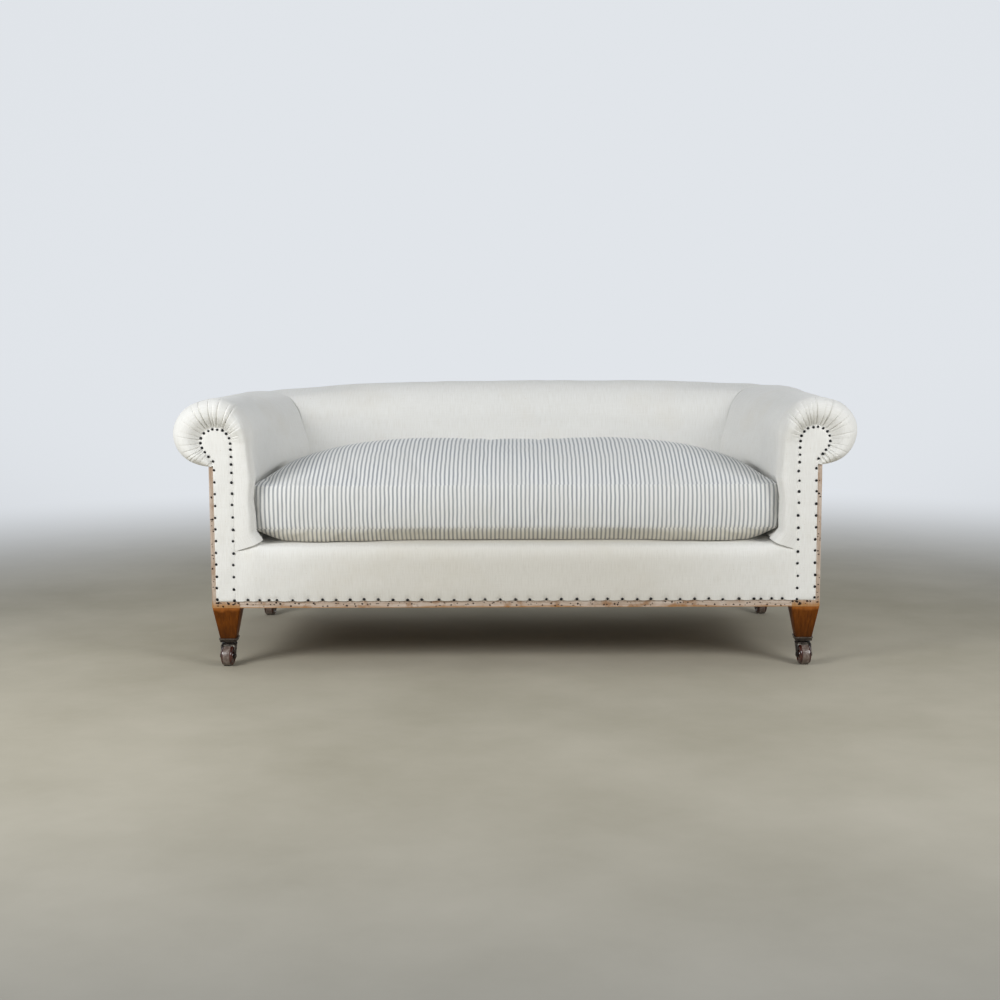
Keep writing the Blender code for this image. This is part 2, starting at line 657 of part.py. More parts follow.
def make_covers():
    """The thin calico panels on the outside of the arms and back, and the facings on the posts."""
    top = ROLL_UNDER - COVER
    out = CLEARANCE + COVER
    panel = box((-SIDE_X, BACK_Y + CLEARANCE, HEM_Z), (SIDE_X, BACK_Y + out, top))
    add_mesh("outside_back_panel", panel, "calico")
    tack_edge = HEAD_RADIUS - TACK_MARGIN
    meet = math.degrees(math.acos(0.10))
    head = arc((-HEAD_IN, HEAD_Z), (tack_edge, tack_edge), 180, -meet, 16)
    stem_u = -HEAD_IN + tack_edge * math.cos(math.radians(meet))
    outline = head + [(stem_u, HEM_Z), (-HEAD_IN - tack_edge, HEM_Z)]
    for name, side in SIDES:
        near, far = sorted((side * (SIDE_X + CLEARANCE), side * (SIDE_X + out)))
        add_mesh("outside_arm_panel_" + name,
                 box((near, FRONT_Y, HEM_Z), (far, BACK_Y, top)), "calico")
        add_mesh("arm_facing_" + name, prism([(side * (SIDE_X + u), z) for u, z in outline],
                                             FRONT_Y - out, FRONT_Y - CLEARANCE), "calico")


# Cushion
def cushion_ring(half_x, front, back, corner, z, steps=4):
    """A rounded rectangle whose long and short sides draw in a little between the corners."""
    middle = (front + back) / 2
    half_y = (back - front) / 2
    corner = min(corner, 0.8 * half_x, 0.8 * half_y)
    ring = []
    for sx, sy, start in ((1, 1, 0), (-1, 1, 90), (-1, -1, 180), (1, -1, 270)):
        centre = (sx * (half_x - corner), sy * (half_y - corner))
        quarter = arc(centre, (corner, corner), start, start + 90, steps)
        ring += quarter
        straight = 6 if sx * sy > 0 else 3
        far = {0: (-1, 1), 90: (-1, -1), 180: (1, -1), 270: (1, 1)}[start]
        last = quarter[-1]
        if start in (0, 180):
            target = (far[0] * (half_x - corner), last[1])
        else:
            target = (last[0], far[1] * (half_y - corner))
        for i in range(1, straight):
            share = i / straight
            draw = CUSHION_DRAW * math.sin(math.pi * share) ** 2
            x = last[0] + (target[0] - last[0]) * share
            y = last[1] + (target[1] - last[1]) * share
            if start in (0, 180):
                y -= math.copysign(min(draw, half_y / 4), y)
            else:
                x -= math.copysign(min(draw, half_x / 4), x)
            ring.append((x, y))
    return [(x, middle + y, z) for x, y in ring]


def make_cushion():
    low = SEAT_TOP + CLEARANCE
    seam = low + CUSHION_UNDER
    upper = seam + BOXING
    half = SIDE_X - ARM_FOOT_IN - CUSHION_GAP
    front = FRONT_Y + CUSHION_FRONT
    back = BACK_Y - BACK_FOOT_IN - CUSHION_GAP
    middle, half_y = (front + back) / 2, (back - front) / 2
    rings = []
    for size, drop in ((0.86, 1), (0.93, 0.9), (0.975, 0.5), (1, 0)):
        rings.append(cushion_ring(half * size, middle - half_y * size, middle + half_y * size,
                                  CUSHION_CORNER * size, seam - CUSHION_UNDER * drop))
    for swell, rise in ((0.8, 0.25), (1, 0.55), (0.75, 0.82), (0.2, 1)):
        out = CUSHION_SWELL * swell
        rings.append(cushion_ring(half + out, front - out * 0.6, back + out * 0.6, CUSHION_CORNER + out,
                                  seam + BOXING * rise))
    for rise in (0.22, 0.45, 0.66, 0.82, 0.93, 0.985):
        long = (1 - rise) ** (1 / CROWN_LONG)
        deep = (1 - rise) ** (1 / CROWN_DEEP)
        rings.append(cushion_ring(half * long, middle - half_y * deep, middle + half_y * deep,
                                  CUSHION_CORNER + 0.3 * half_y * rise, upper + CUSHION_CROWN * rise))
    add_mesh("seat_cushion", loft(rings), "ticking")


clear_scene()
make_frame()
make_castors()
make_webbing()
make_springs()
make_pads()
make_seat_pad()
make_covers()
make_cushion()
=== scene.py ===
# %% [markdown]
# # A chesterfield sofa on castors
# The sofa is stripped to its calico: padded arms and back that roll outwards in one line, a
# sprung seat with a lip down the front rail, and one loose feather cushion in striped ticking.
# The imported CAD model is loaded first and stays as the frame. Every piece made here takes its
# place from those solids, so nothing has to be fitted to them afterwards.

# %% load the frame
import math

import bmesh
import bpy
import numpy as np
from mathutils import Euler, Matrix, Vector


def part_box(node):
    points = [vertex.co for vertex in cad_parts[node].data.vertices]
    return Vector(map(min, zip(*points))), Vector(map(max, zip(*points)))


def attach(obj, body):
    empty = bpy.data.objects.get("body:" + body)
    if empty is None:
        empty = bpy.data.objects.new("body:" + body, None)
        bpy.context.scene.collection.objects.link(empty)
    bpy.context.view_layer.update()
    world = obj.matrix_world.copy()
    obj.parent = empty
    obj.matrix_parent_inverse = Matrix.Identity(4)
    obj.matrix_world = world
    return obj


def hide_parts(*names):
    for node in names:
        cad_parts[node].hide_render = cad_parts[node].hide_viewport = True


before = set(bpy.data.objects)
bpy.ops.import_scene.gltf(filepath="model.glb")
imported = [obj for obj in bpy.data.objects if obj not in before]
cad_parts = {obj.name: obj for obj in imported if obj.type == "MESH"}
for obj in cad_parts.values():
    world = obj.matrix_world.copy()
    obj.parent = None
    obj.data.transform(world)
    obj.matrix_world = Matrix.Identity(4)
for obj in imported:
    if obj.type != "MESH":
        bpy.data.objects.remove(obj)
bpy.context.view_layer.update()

# %% [markdown]
# Heights and faces of the frame are read from the solids. u is used for sizes across an arm or
# the back: it is 0 at the outer face of the frame, and grows outwards into the roll. Pieces that
# lie against each other are kept apart by a hair.

# %% sizes of the frame
post_low, post_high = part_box("arm_front_post_right")
SIDE_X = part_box("front_leg_right")[1].x
FRONT_Y, RAIL_Z = post_low.y, post_low.z
BACK_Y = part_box("back_seat_rail")[1].y
RAIL_BACK, RAIL_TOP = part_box("front_seat_rail")[1].yz
HEM_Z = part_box("arm_facing_right")[0].z
SEAT_BACK, SEAT_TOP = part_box("seat_pad")[1].yz
FOOT_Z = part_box("arm_pad_right")[0].z
POST_WIDTH = SIDE_X - post_low.x
HEAD_RADIUS = (post_high.x - post_low.x) / 2
HEAD_U = HEAD_RADIUS - POST_WIDTH
HEAD_Z = post_high.z - HEAD_RADIUS
HAIR = 0.0003
SIDES = (("left", -1), ("right", 1))
CORNERS = ("front_left", "front_right", "rear_left", "rear_right")
print("frame half width, front, back:", [round(v, 4) for v in (SIDE_X, FRONT_Y, BACK_Y)])

# %% [markdown]
# The camera stands straight in front of the sofa, a little above the arms, where the photograph
# was taken. Its place and lens were worked out from points on the sofa whose sizes are known.

# %% camera
EYE, LENS = (-0.0030, -4.2823, 0.8778), 54.216
TILT, PAN, ROLL = (math.radians(degrees) for degrees in (83.475, 0.53, -0.27))
camera = bpy.data.objects.new("camera", bpy.data.cameras.new("camera"))
bpy.context.scene.collection.objects.link(camera)
camera.data.sensor_width = 36
camera.data.lens = LENS
camera.location = EYE
level = Euler((TILT, 0, PAN)).to_matrix()
camera.rotation_euler = (level @ Matrix.Rotation(ROLL, 3, "Z")).to_euler()
bpy.context.scene.camera = camera
print("lens, mm:", camera.data.lens)

# %% [markdown]
# Each finish is a node tree that is named for the real material. One small function adds a node:
# it sets the node's options, fills its inputs with numbers, hex colours or another node's output,
# lays the stops of a colour ramp, and can lead the node's first output into the shader.

# %% adding nodes
def linear(colour):
    """An sRGB hex colour as the linear values that a shader works with."""
    values = [int(colour[i:i + 2], 16) / 255 for i in (1, 3, 5)]
    return [v / 12.92 if v <= 0.04045 else ((v + 0.055) / 1.055) ** 2.4 for v in values] + [1]


def add(tree, kind, inputs, stops=(), into=None, **options):
    made = tree.nodes.new("ShaderNode" + kind)
    for option, value in options.items():
        setattr(made, option, value)
    for key, value in inputs.items():
        if isinstance(value, bpy.types.NodeSocket):
            tree.links.new(value, made.inputs[key])
        else:
            made.inputs[key].default_value = linear(value) if isinstance(value, str) else value
    for i, (place, colour) in enumerate(stops):
        ramp = made.color_ramp.elements
        stop = ramp[i] if i < 2 else ramp.new(place)
        stop.position, stop.color = place, linear(colour)
    if into is not None:
        tree.links.new(made.outputs[0], into)
    return made.outputs


def new_finish(name, roughness, **sockets):
    """A material with its constant values set on the shader's own sockets."""
    material = bpy.data.materials.new(name)
    material.use_nodes = True
    shader = material.node_tree.nodes["Principled BSDF"]
    shader.inputs["Roughness"].default_value = roughness
    for socket, value in sockets.items():
        shader.inputs[socket.replace("_", " ")].default_value = value
    return material, material.node_tree, shader.inputs


print("a stop of pure white is", linear("#FFFFFF"))

# %% [markdown]
# Soft studio light: a large lamp high on the left models the rolls, a weaker one on the right
# fills the shade, and a pale sky lights the rest. Big lamps give soft shadows. The sky is brighter
# behind the sofa, as a white wall would be.

# %% lights
LAMP_SIZE, LAMP_COLOUR = 1.2, "#FBFCFD"
SKY_COLOUR, SKY_IN_FRONT = "#E1E5EA", 0.36


def studio_lamp(name, place, aim, watts):
    lamp = bpy.data.objects.new(name, bpy.data.lights.new(name, "AREA"))
    bpy.context.scene.collection.objects.link(lamp)
    lamp.data.size, lamp.data.energy = LAMP_SIZE, watts
    lamp.data.color = linear(LAMP_COLOUR)[:3]
    lamp.location = place
    lamp.rotation_euler = (Vector(aim) - Vector(place)).to_track_quat("-Z", "Y").to_euler()


studio_lamp("key_lamp", (-2.2, -2.1, 1.6), (-0.25, -0.2, 0.4), 49)
studio_lamp("fill_lamp", (2.2, -2.2, 1.6), (0.25, -0.2, 0.4), 37.5)
sky = bpy.data.worlds.new("studio_sky")
bpy.context.scene.world = sky
sky.use_nodes = True
glow = sky.node_tree.nodes["Background"].inputs
glow["Color"].default_value = linear(SKY_COLOUR)
way = add(sky.node_tree, "TexCoord", {})["Generated"]
way = add(sky.node_tree, "SeparateXYZ", {"Vector": way})["Y"]
add(sky.node_tree, "MapRange", {"Value": way, "To Min": SKY_IN_FRONT, "To Max": 1.0},
    into=glow["Strength"], interpolation_type="SMOOTHSTEP")
bpy.context.scene.view_settings.view_transform = "Standard"
print("lamps:", [lamp.name for lamp in bpy.data.lights])

# %% [markdown]
# Calico is plain-woven unbleached cotton. Its threads are under half a millimetre, too fine to
# show here, so the slubs, the thick places in the yarn, are drawn as streaks 2 to 3 mm wide that
# run up the cloth, with weaker ones across. Husk flecks and faint yellow stains break the cream.
# The seat's own piece is greyed towards its middle: painted shade, where the light falls off.

# %% calico
SLUB, SLUB_LENGTH = 0.0022, 0.035


def calico_cloth(name, middle_shade):
    material, tree, shader = new_finish(name, 0.9, Sheen_Weight=0.12, Sheen_Roughness=0.5)
    cloth = add(tree, "UVMap", {})["UV"]
    yarns = []
    for scale in ((1 / SLUB, 1 / SLUB_LENGTH, 1), (0.5 / SLUB_LENGTH, 1 / SLUB, 1)):
        yarn = add(tree, "Mapping", {"Vector": cloth, "Scale": scale})["Vector"]
        yarns += [add(tree, "TexNoise", {"Vector": yarn, "Scale": 1, "Detail": 3, "Roughness": 0.6})["Fac"]]
    yarn = add(tree, "Mix", {"Factor": 0.25, "A": yarns[0], "B": yarns[1]})["Result"]
    cream = [(0.33, "#E9E7E1"), (0.68, "#F4F3EF"), (0.5, "#EFEEE9")]
    base = add(tree, "ValToRGB", {"Fac": yarn}, cream)["Color"]
    stain = add(tree, "TexNoise", {"Vector": cloth, "Scale": 5, "Detail": 4, "Roughness": 0.65})["Fac"]
    stain = add(tree, "MapRange", {"Value": stain, "From Min": 0.5, "From Max": 0.8, "To Max": 0.24})["Result"]
    base = add(tree, "MixRGB", {"Fac": stain, "Color1": base, "Color2": "#DCD3BF"})["Color"]
    fleck = add(tree, "TexNoise", {"Vector": cloth, "Scale": 260, "Detail": 1})["Fac"]
    fleck = add(tree, "MapRange", {"Value": fleck, "From Min": 0.73, "From Max": 0.8, "To Max": 0.35})["Result"]
    base = add(tree, "MixRGB", {"Fac": fleck, "Color1": base, "Color2": "#A98B62"})["Color"]
    # Painted shade: the cloth is darker towards the middle of the seat.
    middle = add(tree, "SeparateXYZ", {"Vector": add(tree, "TexCoord", {})["Object"]})["X"]
    middle = add(tree, "Math", {0: middle}, operation="ABSOLUTE")["Value"]
    middle = add(tree, "MapRange", {"Value": middle, "From Min": 0.72, "From Max": 0.25, "To Max": middle_shade},
                 interpolation_type="SMOOTHSTEP")["Result"]
    add(tree, "MixRGB", {"Fac": middle, "Color1": base, "Color2": "#E4DFD5"}, into=shader["Base Color"],
        blend_type="MULTIPLY")
    add(tree, "Bump", {"Height": yarn, "Strength": 0.2, "Distance": 0.0006}, into=shader["Normal"])
    return material


calico = calico_cloth("unbleached_calico", 0.0)
seat_calico = calico_cloth("rubbed_calico", 0.55)
print("calico slub, mm:", 1000 * SLUB)

# %% [markdown]
# Ticking is a dense twill with woven stripes, made to hold feathers. The stripes repeat every
# 11.1 mm: a soft grey band with a darker line along each edge, on cream. The stripes follow the
# cloth, so they read the UV map in metres, and they wander a little, as cut cloth does. From just
# above the lower seam down, painted warm bounce light and shade tint the cloth warmer and darker.
# The twill ribs are finer than a millimetre and are drawn at 2.5 mm, in relief only.

# %% ticking
STRIPE, TWILL = 0.0111, 0.0025
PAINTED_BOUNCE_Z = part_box("seat_cushion")[0].z + 0.0255
CREAM, GREY_LINE = "#F0F0ED", "#82868C"
ticking, tree, shader = new_finish("striped_ticking", 0.85, Sheen_Weight=0.1, Sheen_Roughness=0.5)
cloth = add(tree, "UVMap", {})["UV"]
sway = add(tree, "TexNoise", {"Vector": cloth, "Scale": 16, "Detail": 2})["Fac"]
sway = add(tree, "MapRange", {"Value": sway, "To Min": -0.16, "To Max": 0.16})["Result"]
across = add(tree, "SeparateXYZ", {"Vector": cloth})["X"]
across = add(tree, "Math", {0: across, 1: 1 / STRIPE, 2: sway}, operation="MULTIPLY_ADD")["Value"]
across = add(tree, "Math", {0: across}, operation="FRACT")["Value"]
stripe = add(tree, "ValToRGB", {"Fac": across},
             [(0.0, "#F3F3F1"), (1.0, "#F3F3F1"), (0.27, CREAM), (0.32, GREY_LINE), (0.38, "#A3A6AB"),
              (0.60, "#A8ABAF"), (0.66, GREY_LINE), (0.71, CREAM)])["Color"]
wear = add(tree, "TexNoise", {"Vector": cloth, "Scale": 9, "Detail": 5, "Roughness": 0.6})["Fac"]
wear = add(tree, "MapRange", {"Value": wear, "From Min": 0.4, "From Max": 0.75, "To Max": 0.3})["Result"]
stripe = add(tree, "MixRGB", {"Fac": wear, "Color1": stripe, "Color2": "#DCDAD2"})["Color"]
height = add(tree, "SeparateXYZ", {"Vector": add(tree, "TexCoord", {})["Object"]})["Z"]
# Painted warm bounce light and shade: warmer and darker from just above the lower seam down.
old = add(tree, "MapRange", {"Value": height, "From Min": PAINTED_BOUNCE_Z + 0.010, "From Max": PAINTED_BOUNCE_Z - 0.014,
                             "To Max": 0.4})["Result"]
add(tree, "MixRGB", {"Fac": old, "Color1": stripe, "Color2": "#D6C7A0"}, into=shader["Base Color"],
    blend_type="MULTIPLY")
twill = add(tree, "Mapping", {"Vector": cloth, "Rotation": (0, 0, 1.1), "Scale": (1 / TWILL, 30, 1)})["Vector"]
twill = add(tree, "TexNoise", {"Vector": twill, "Scale": 1, "Detail": 2})["Fac"]
add(tree, "Bump", {"Height": twill, "Strength": 0.3, "Distance": 0.0006}, into=shader["Normal"])
print("stripes to a metre:", round(1 / STRIPE, 1))

# %% [markdown]
# The bare timber under the hem is old beech: pinkish, close-grained, stained orange in patches and
# along its lower edge, and scraped pale where earlier covers were pulled off. The legs are
# polished and stained as mahogany, glossy, darker towards the foot, and worn to orange along the
# top edge. The back legs are one piece with their posts, so their finish changes from polish to
# bare wood at the rail. Grain lines are 5 mm apart and run for 125 mm.

# %% beech and mahogany
ACROSS, ALONG = 1 / 0.005, 1 / 0.125
GRAIN = {"along_x": (ALONG, ACROSS, ACROSS), "along_y": (ACROSS, ALONG, ACROSS),
         "upright": (ACROSS, ACROSS, ALONG)}


def beech_colour(tree, grain_scale, stained=0.8):
    place = add(tree, "TexCoord", {})["Object"]
    grain = add(tree, "Mapping", {"Vector": place, "Scale": grain_scale})["Vector"]
    grain = add(tree, "TexNoise", {"Vector": grain, "Scale": 1, "Detail": 5, "Roughness": 0.6})["Fac"]
    pinkish = [(0.3, "#A68F7B"), (0.7, "#D6C7B9"), (0.5, "#C2AE9C")]
    base = add(tree, "ValToRGB", {"Fac": grain}, pinkish)["Color"]
    patch = add(tree, "TexNoise", {"Vector": place, "Scale": 21, "Detail": 4, "Roughness": 0.65})["Fac"]
    stain = add(tree, "MapRange", {"Value": patch, "From Min": 0.53, "From Max": 0.64,
                                   "To Max": stained})["Result"]
    base = add(tree, "MixRGB", {"Fac": stain, "Color1": base, "Color2": "#966634"})["Color"]
    scrape = add(tree, "MapRange", {"Value": patch, "From Min": 0.44, "From Max": 0.34,
                                    "To Max": 0.6})["Result"]
    return add(tree, "MixRGB", {"Fac": scrape, "Color1": base, "Color2": "#D2C4B7"})["Color"], grain


def mahogany_colour(tree):
    place = add(tree, "TexCoord", {})["Object"]
    grain = add(tree, "Mapping", {"Vector": place, "Scale": (ACROSS, ACROSS, 9)})["Vector"]
    grain = add(tree, "TexNoise", {"Vector": grain, "Scale": 1, "Detail": 6, "Roughness": 0.6})["Fac"]
    red_brown = [(0.2, "#472204"), (0.8, "#7E4510"), (0.5, "#643408")]
    base = add(tree, "ValToRGB", {"Fac": grain}, red_brown)["Color"]
    height = add(tree, "SeparateXYZ", {"Vector": place})["Z"]
    smudge = add(tree, "TexNoise", {"Vector": place, "Scale": 60, "Detail": 3})["Fac"]
    height = add(tree, "Math", {0: smudge, 1: 0.016, 2: height}, operation="MULTIPLY_ADD")["Value"]
    for low, high, share, colour in ((RAIL_Z - 0.004, RAIL_Z + 0.006, 0.8, "#A8642A"),
                                     (RAIL_Z - 0.03, RAIL_Z - 0.085, 0.55, "#2C1508")):
        worn = add(tree, "MapRange", {"Value": height, "From Min": low, "From Max": high,
                                      "To Max": share})["Result"]
        base = add(tree, "MixRGB", {"Fac": worn, "Color1": base, "Color2": colour})["Color"]
    return base, grain


timber = {}
for name, scale in GRAIN.items():
    upright = name == "upright"
    timber[name], tree, shader = new_finish("bare_beech_" + name, 0.68)
    colour, grain = beech_colour(tree, scale, 0.3 if upright else 0.7)
    stained_to, full_at = (HEM_Z + 0.010, RAIL_Z + 0.010) if upright else (RAIL_Z + 0.0105, RAIL_Z + 0.006)
    height = add(tree, "SeparateXYZ", {"Vector": add(tree, "TexCoord", {})["Object"]})["Z"]
    height = add(tree, "Math", {0: grain, 1: 0.012, 2: height}, operation="MULTIPLY_ADD")["Value"]
    foot = add(tree, "MapRange", {"Value": height, "From Min": stained_to, "From Max": full_at,
                                  "To Max": 0.85})["Result"]
    add(tree, "MixRGB", {"Fac": foot, "Color1": colour, "Color2": "#AC742C"}, into=shader["Base Color"])
    add(tree, "Bump", {"Height": grain, "Strength": 0.4, "Distance": 0.0006}, into=shader["Normal"])
mahogany, tree, shader = new_finish("polished_mahogany", 0.42, Specular_IOR_Level=0.12, Coat_Weight=0.05,
                                    Coat_Roughness=0.2)
colour, grain = mahogany_colour(tree)
tree.links.new(colour, shader["Base Color"])
add(tree, "Bump", {"Height": grain, "Strength": 0.12, "Distance": 0.0004}, into=shader["Normal"])
back_post, tree, shader = new_finish("beech_post_with_polished_leg", 0.5, Specular_IOR_Level=0.3)
height = add(tree, "SeparateXYZ", {"Vector": add(tree, "TexCoord", {})["Object"]})["Z"]
above = add(tree, "Math", {0: height, 1: RAIL_Z - 0.001}, operation="GREATER_THAN")["Value"]
add(tree, "MixRGB", {"Fac": above, "Color1": mahogany_colour(tree)[0],
                     "Color2": beech_colour(tree, GRAIN["upright"])[0]}, into=shader["Base Color"])
add(tree, "MapRange", {"Value": above, "To Min": 0.3, "To Max": 0.7}, into=shader["Roughness"])
print("timber finishes:", len(timber) + 2)

# %% [markdown]
# Small hard finishes. The castors are bronze gone dark, with a lighter bead round the cup's rim.
# The wheels are brown-glazed stoneware, glossy at the sides and paler on the tread, where they run
# on the floor: worn there, and with a painted highlight. Tacks are blued iron, nearly black. Springs
# are drawn steel with a bloom of rust. Old tack holes are only painted shade with frayed edges.

# %% metals and glaze
def mottled(name, roughness, scale, stops, **sockets):
    material, tree, shader = new_finish(name, roughness, **sockets)
    place = add(tree, "TexCoord", {})["Object"]
    cloud = add(tree, "TexNoise", {"Vector": place, "Scale": scale, "Detail": 5, "Roughness": 0.65})["Fac"]
    add(tree, "ValToRGB", {"Fac": cloud}, stops, into=shader["Base Color"])
    add(tree, "MapRange", {"Value": cloud, "To Min": roughness - 0.1, "To Max": roughness + 0.15},
        into=shader["Roughness"])
    add(tree, "Bump", {"Height": cloud, "Strength": 0.15, "Distance": 0.0005}, into=shader["Normal"])
    return material


bronze = mottled("dark_bronze", 0.38, 130, [(0.35, "#2B2522"), (0.72, "#6E6358"), (0.55, "#423A35")],
                 Metallic=0.6)
rim_bronze = mottled("rubbed_bronze", 0.32, 160, [(0.3, "#4E4540"), (0.7, "#8F8680"), (0.5, "#6C635E")],
                     Metallic=0.7)
glaze = mottled("brown_glazed_stoneware", 0.14, 90, [(0.3, "#2A120D"), (0.7, "#5C2E20"), (0.5, "#40201A")],
                Coat_Weight=0.5, Coat_Roughness=0.08)
# A paler glaze for the tread: worn there, and a painted highlight.
worn_and_highlit_glaze = mottled("worn_wheel_tread", 0.3, 120, [(0.3, "#54433C"), (0.7, "#8E817A"), (0.5, "#716259")],
                     Coat_Weight=0.3, Coat_Roughness=0.25)
tack_iron = mottled("blued_tack_iron", 0.4, 300, [(0.3, "#0B0B0D"), (0.75, "#2C2C30")], Metallic=0.55)
spring_steel = mottled("drawn_spring_steel", 0.4, 70, [(0.35, "#6F6A63"), (0.75, "#7A5236"), (0.6, "#8E8980")],
                       Metallic=0.8)
hole_shade = mottled("old_tack_hole", 0.85, 400, [(0.3, "#140C08"), (0.7, "#3A2416")])
print("hard finishes: 7, the last is", hole_shade.name)

# %% [markdown]
# Jute holds the springs. The webbing is a twilled strap, 52 mm wide, with two darker stripes. The
# hessian over the springs is an open plain weave of threads about 2 mm apart. Both read the UV
# map in metres.

# %% jute webbing and hessian
STRIPE_LINES, STRIPE_HALF = (0.016, 0.036), 0.0022


def jute_cloth(name, thread, stops, striped):
    material, tree, shader = new_finish(name, 0.92)
    cloth = add(tree, "UVMap", {})["UV"]
    yarns = []
    for scale in ((1 / thread, 12, 1), (12, 1 / thread, 1)):
        yarn = add(tree, "Mapping", {"Vector": cloth, "Scale": scale})["Vector"]
        yarns.append(add(tree, "TexNoise", {"Vector": yarn, "Scale": 1, "Detail": 2})["Fac"])
    yarn = add(tree, "Math", {0: yarns[0], 1: yarns[1]}, operation="MAXIMUM")["Value"]
    base = add(tree, "ValToRGB", {"Fac": yarn}, stops)["Color"]
    across = add(tree, "SeparateXYZ", {"Vector": cloth})["X"]
    first, second = (add(tree, "Math", {0: across, 1: line, 2: STRIPE_HALF}, operation="COMPARE")["Value"]
                     for line in STRIPE_LINES)
    stripe = add(tree, "Math", {0: first, 1: second}, operation="MAXIMUM")["Value"]
    stripe = add(tree, "Math", {0: stripe, 1: striped}, operation="MULTIPLY")["Value"]
    add(tree, "MixRGB", {"Fac": stripe, "Color1": base, "Color2": "#4A2A1A"}, into=shader["Base Color"])
    add(tree, "Bump", {"Height": yarn, "Strength": 0.6, "Distance": 0.001}, into=shader["Normal"])
    return material


webbing_jute = jute_cloth("jute_webbing", 0.0015, [(0.4, "#8A6C43"), (0.75, "#C6A877")], 0.7)
hessian_jute = jute_cloth("hessian", 0.002, [(0.4, "#6E5330"), (0.75, "#B8955F")], 0.0)
print("jute finishes: 2")

# %% [markdown]
# The floor is plain and pale, so that it gives back a soft light under the sofa. A slow cloud of
# tone keeps it from being one flat colour. Far from the sofa it glows with the colour that the sky
# has in that direction, so that the two meet without a line, as on a studio's curved paper.

# %% floor
FLOOR_SIZE, FADE_FROM, FADE_TO = 60, 1.1, 4.2
bpy.ops.object.select_all(action="DESELECT")
bpy.ops.mesh.primitive_plane_add(size=FLOOR_SIZE)
floor = bpy.context.object
floor.name = "studio_floor"
pale_floor, tree, shader = new_finish("pale_floor", 0.75, Specular_IOR_Level=0.0,
                                      Emission_Color=linear(SKY_COLOUR))
place = add(tree, "TexCoord", {})["Object"]
cloud = add(tree, "TexNoise", {"Vector": place, "Scale": 1.6, "Detail": 6, "Roughness": 0.6})["Fac"]
colour = add(tree, "ValToRGB", {"Fac": cloud}, [(0.3, "#ABA594"), (0.7, "#BDB7A7")])["Color"]
away = add(tree, "VectorMath", {0: place}, operation="LENGTH")["Value"]
away = add(tree, "MapRange", {"Value": away, "From Min": FADE_FROM, "From Max": FADE_TO},
           interpolation_type="SMOOTHSTEP")["Result"]
add(tree, "MixRGB", {"Fac": away, "Color1": colour, "Color2": "#000000"}, into=shader["Base Color"])
way = add(tree, "VectorMath", {0: place}, operation="NORMALIZE")["Vector"]
way = add(tree, "SeparateXYZ", {"Vector": way})["Y"]
way = add(tree, "MapRange", {"Value": way, "To Min": SKY_IN_FRONT, "To Max": 1.0},
          interpolation_type="SMOOTHSTEP")["Result"]
add(tree, "Math", {0: away, 1: way}, into=shader["Emission Strength"], operation="MULTIPLY")
floor.data.materials.append(pale_floor)
print("floor, m:", [round(v, 1) for v in floor.dimensions])

# %% [markdown]
# Frame timbers keep their CAD shape, because sawn rails are plain and almost all of each is
# hidden. They only change their finish: the grain runs along each timber.

# %% finishes of the frame timbers
grained = 0
for name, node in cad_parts.items():
    if name.startswith("back_post"):
        finish = back_post
    elif "post" in name or name == "back_centre_upright":
        finish = timber["upright"]
    elif name.startswith(("side_seat", "arm_top", "arm_lower", "seat_cross")):
        finish = timber["along_y"]
    elif name.endswith("rail"):
        finish = timber["along_x"]
    else:
        continue
    for slot in node.material_slots:
        slot.material = finish
    grained += 1
print("timbers with grain:", grained)

# %% [markdown]
# Hard pieces are modelled with the same operators as by hand. A few helpers keep that short: they
# add a primitive with nothing else selected, go into edit mode with only some parts selected, go
# back out and smooth the shading, and say what the piece belongs to.

# %% modelling helpers
def nothing_selected():
    if bpy.context.mode != "OBJECT":
        bpy.ops.object.mode_set(mode="OBJECT")
    bpy.ops.object.select_all(action="DESELECT")


def select_only(piece):
    nothing_selected()
    piece.select_set(True)
    bpy.context.view_layer.objects.active = piece


def start(primitive, **size):
    nothing_selected()
    getattr(bpy.ops.mesh, "primitive_" + primitive + "_add")(**size)
    bpy.ops.object.transform_apply(location=True, rotation=True, scale=True)
    return bpy.context.object


def pick(piece, kind, test):
    """Edit mode, with only those faces, edges or vertices selected that pass the test."""
    bpy.context.view_layer.objects.active = piece
    bpy.ops.object.mode_set(mode="EDIT")
    bpy.ops.mesh.select_mode(type=kind)
    bpy.ops.mesh.select_all(action="DESELECT")
    sketch = bmesh.from_edit_mesh(piece.data)
    for part in {"VERT": sketch.verts, "EDGE": sketch.edges, "FACE": sketch.faces}[kind]:
        part.select_set(test(part))
    sketch.select_flush_mode()
    bmesh.update_edit_mesh(piece.data)


def shade(piece, degrees=40):
    select_only(piece)
    bpy.ops.object.shade_smooth_by_angle(angle=math.radians(degrees))


def belong(piece, name, body, slot, *nodes):
    piece.name = piece.data.name = name
    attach(piece, body)
    if nodes:
        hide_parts(*nodes)
    return piece


def extrude(*move):
    bpy.ops.mesh.extrude_region_move(TRANSFORM_OT_translate={"value": move})


def resize(x, y, z, centre):
    bpy.ops.transform.resize(value=(x, y, z), center_override=centre)


def copied(piece, turn):
    """A copy with a mesh of its own, put in its place and left at the origin."""
    other = piece.copy()
    other.data = piece.data.copy()
    other.data.transform(turn)
    bpy.context.scene.collection.objects.link(other)
    return other


print("helpers ready")

# %% [markdown]
# A front leg is a square block that tapers to its foot on all four sides. A cube is drawn at the
# size of the top, its lower face is made smaller, the long edges are rounded, and a round dowel
# grows from the top into the post.

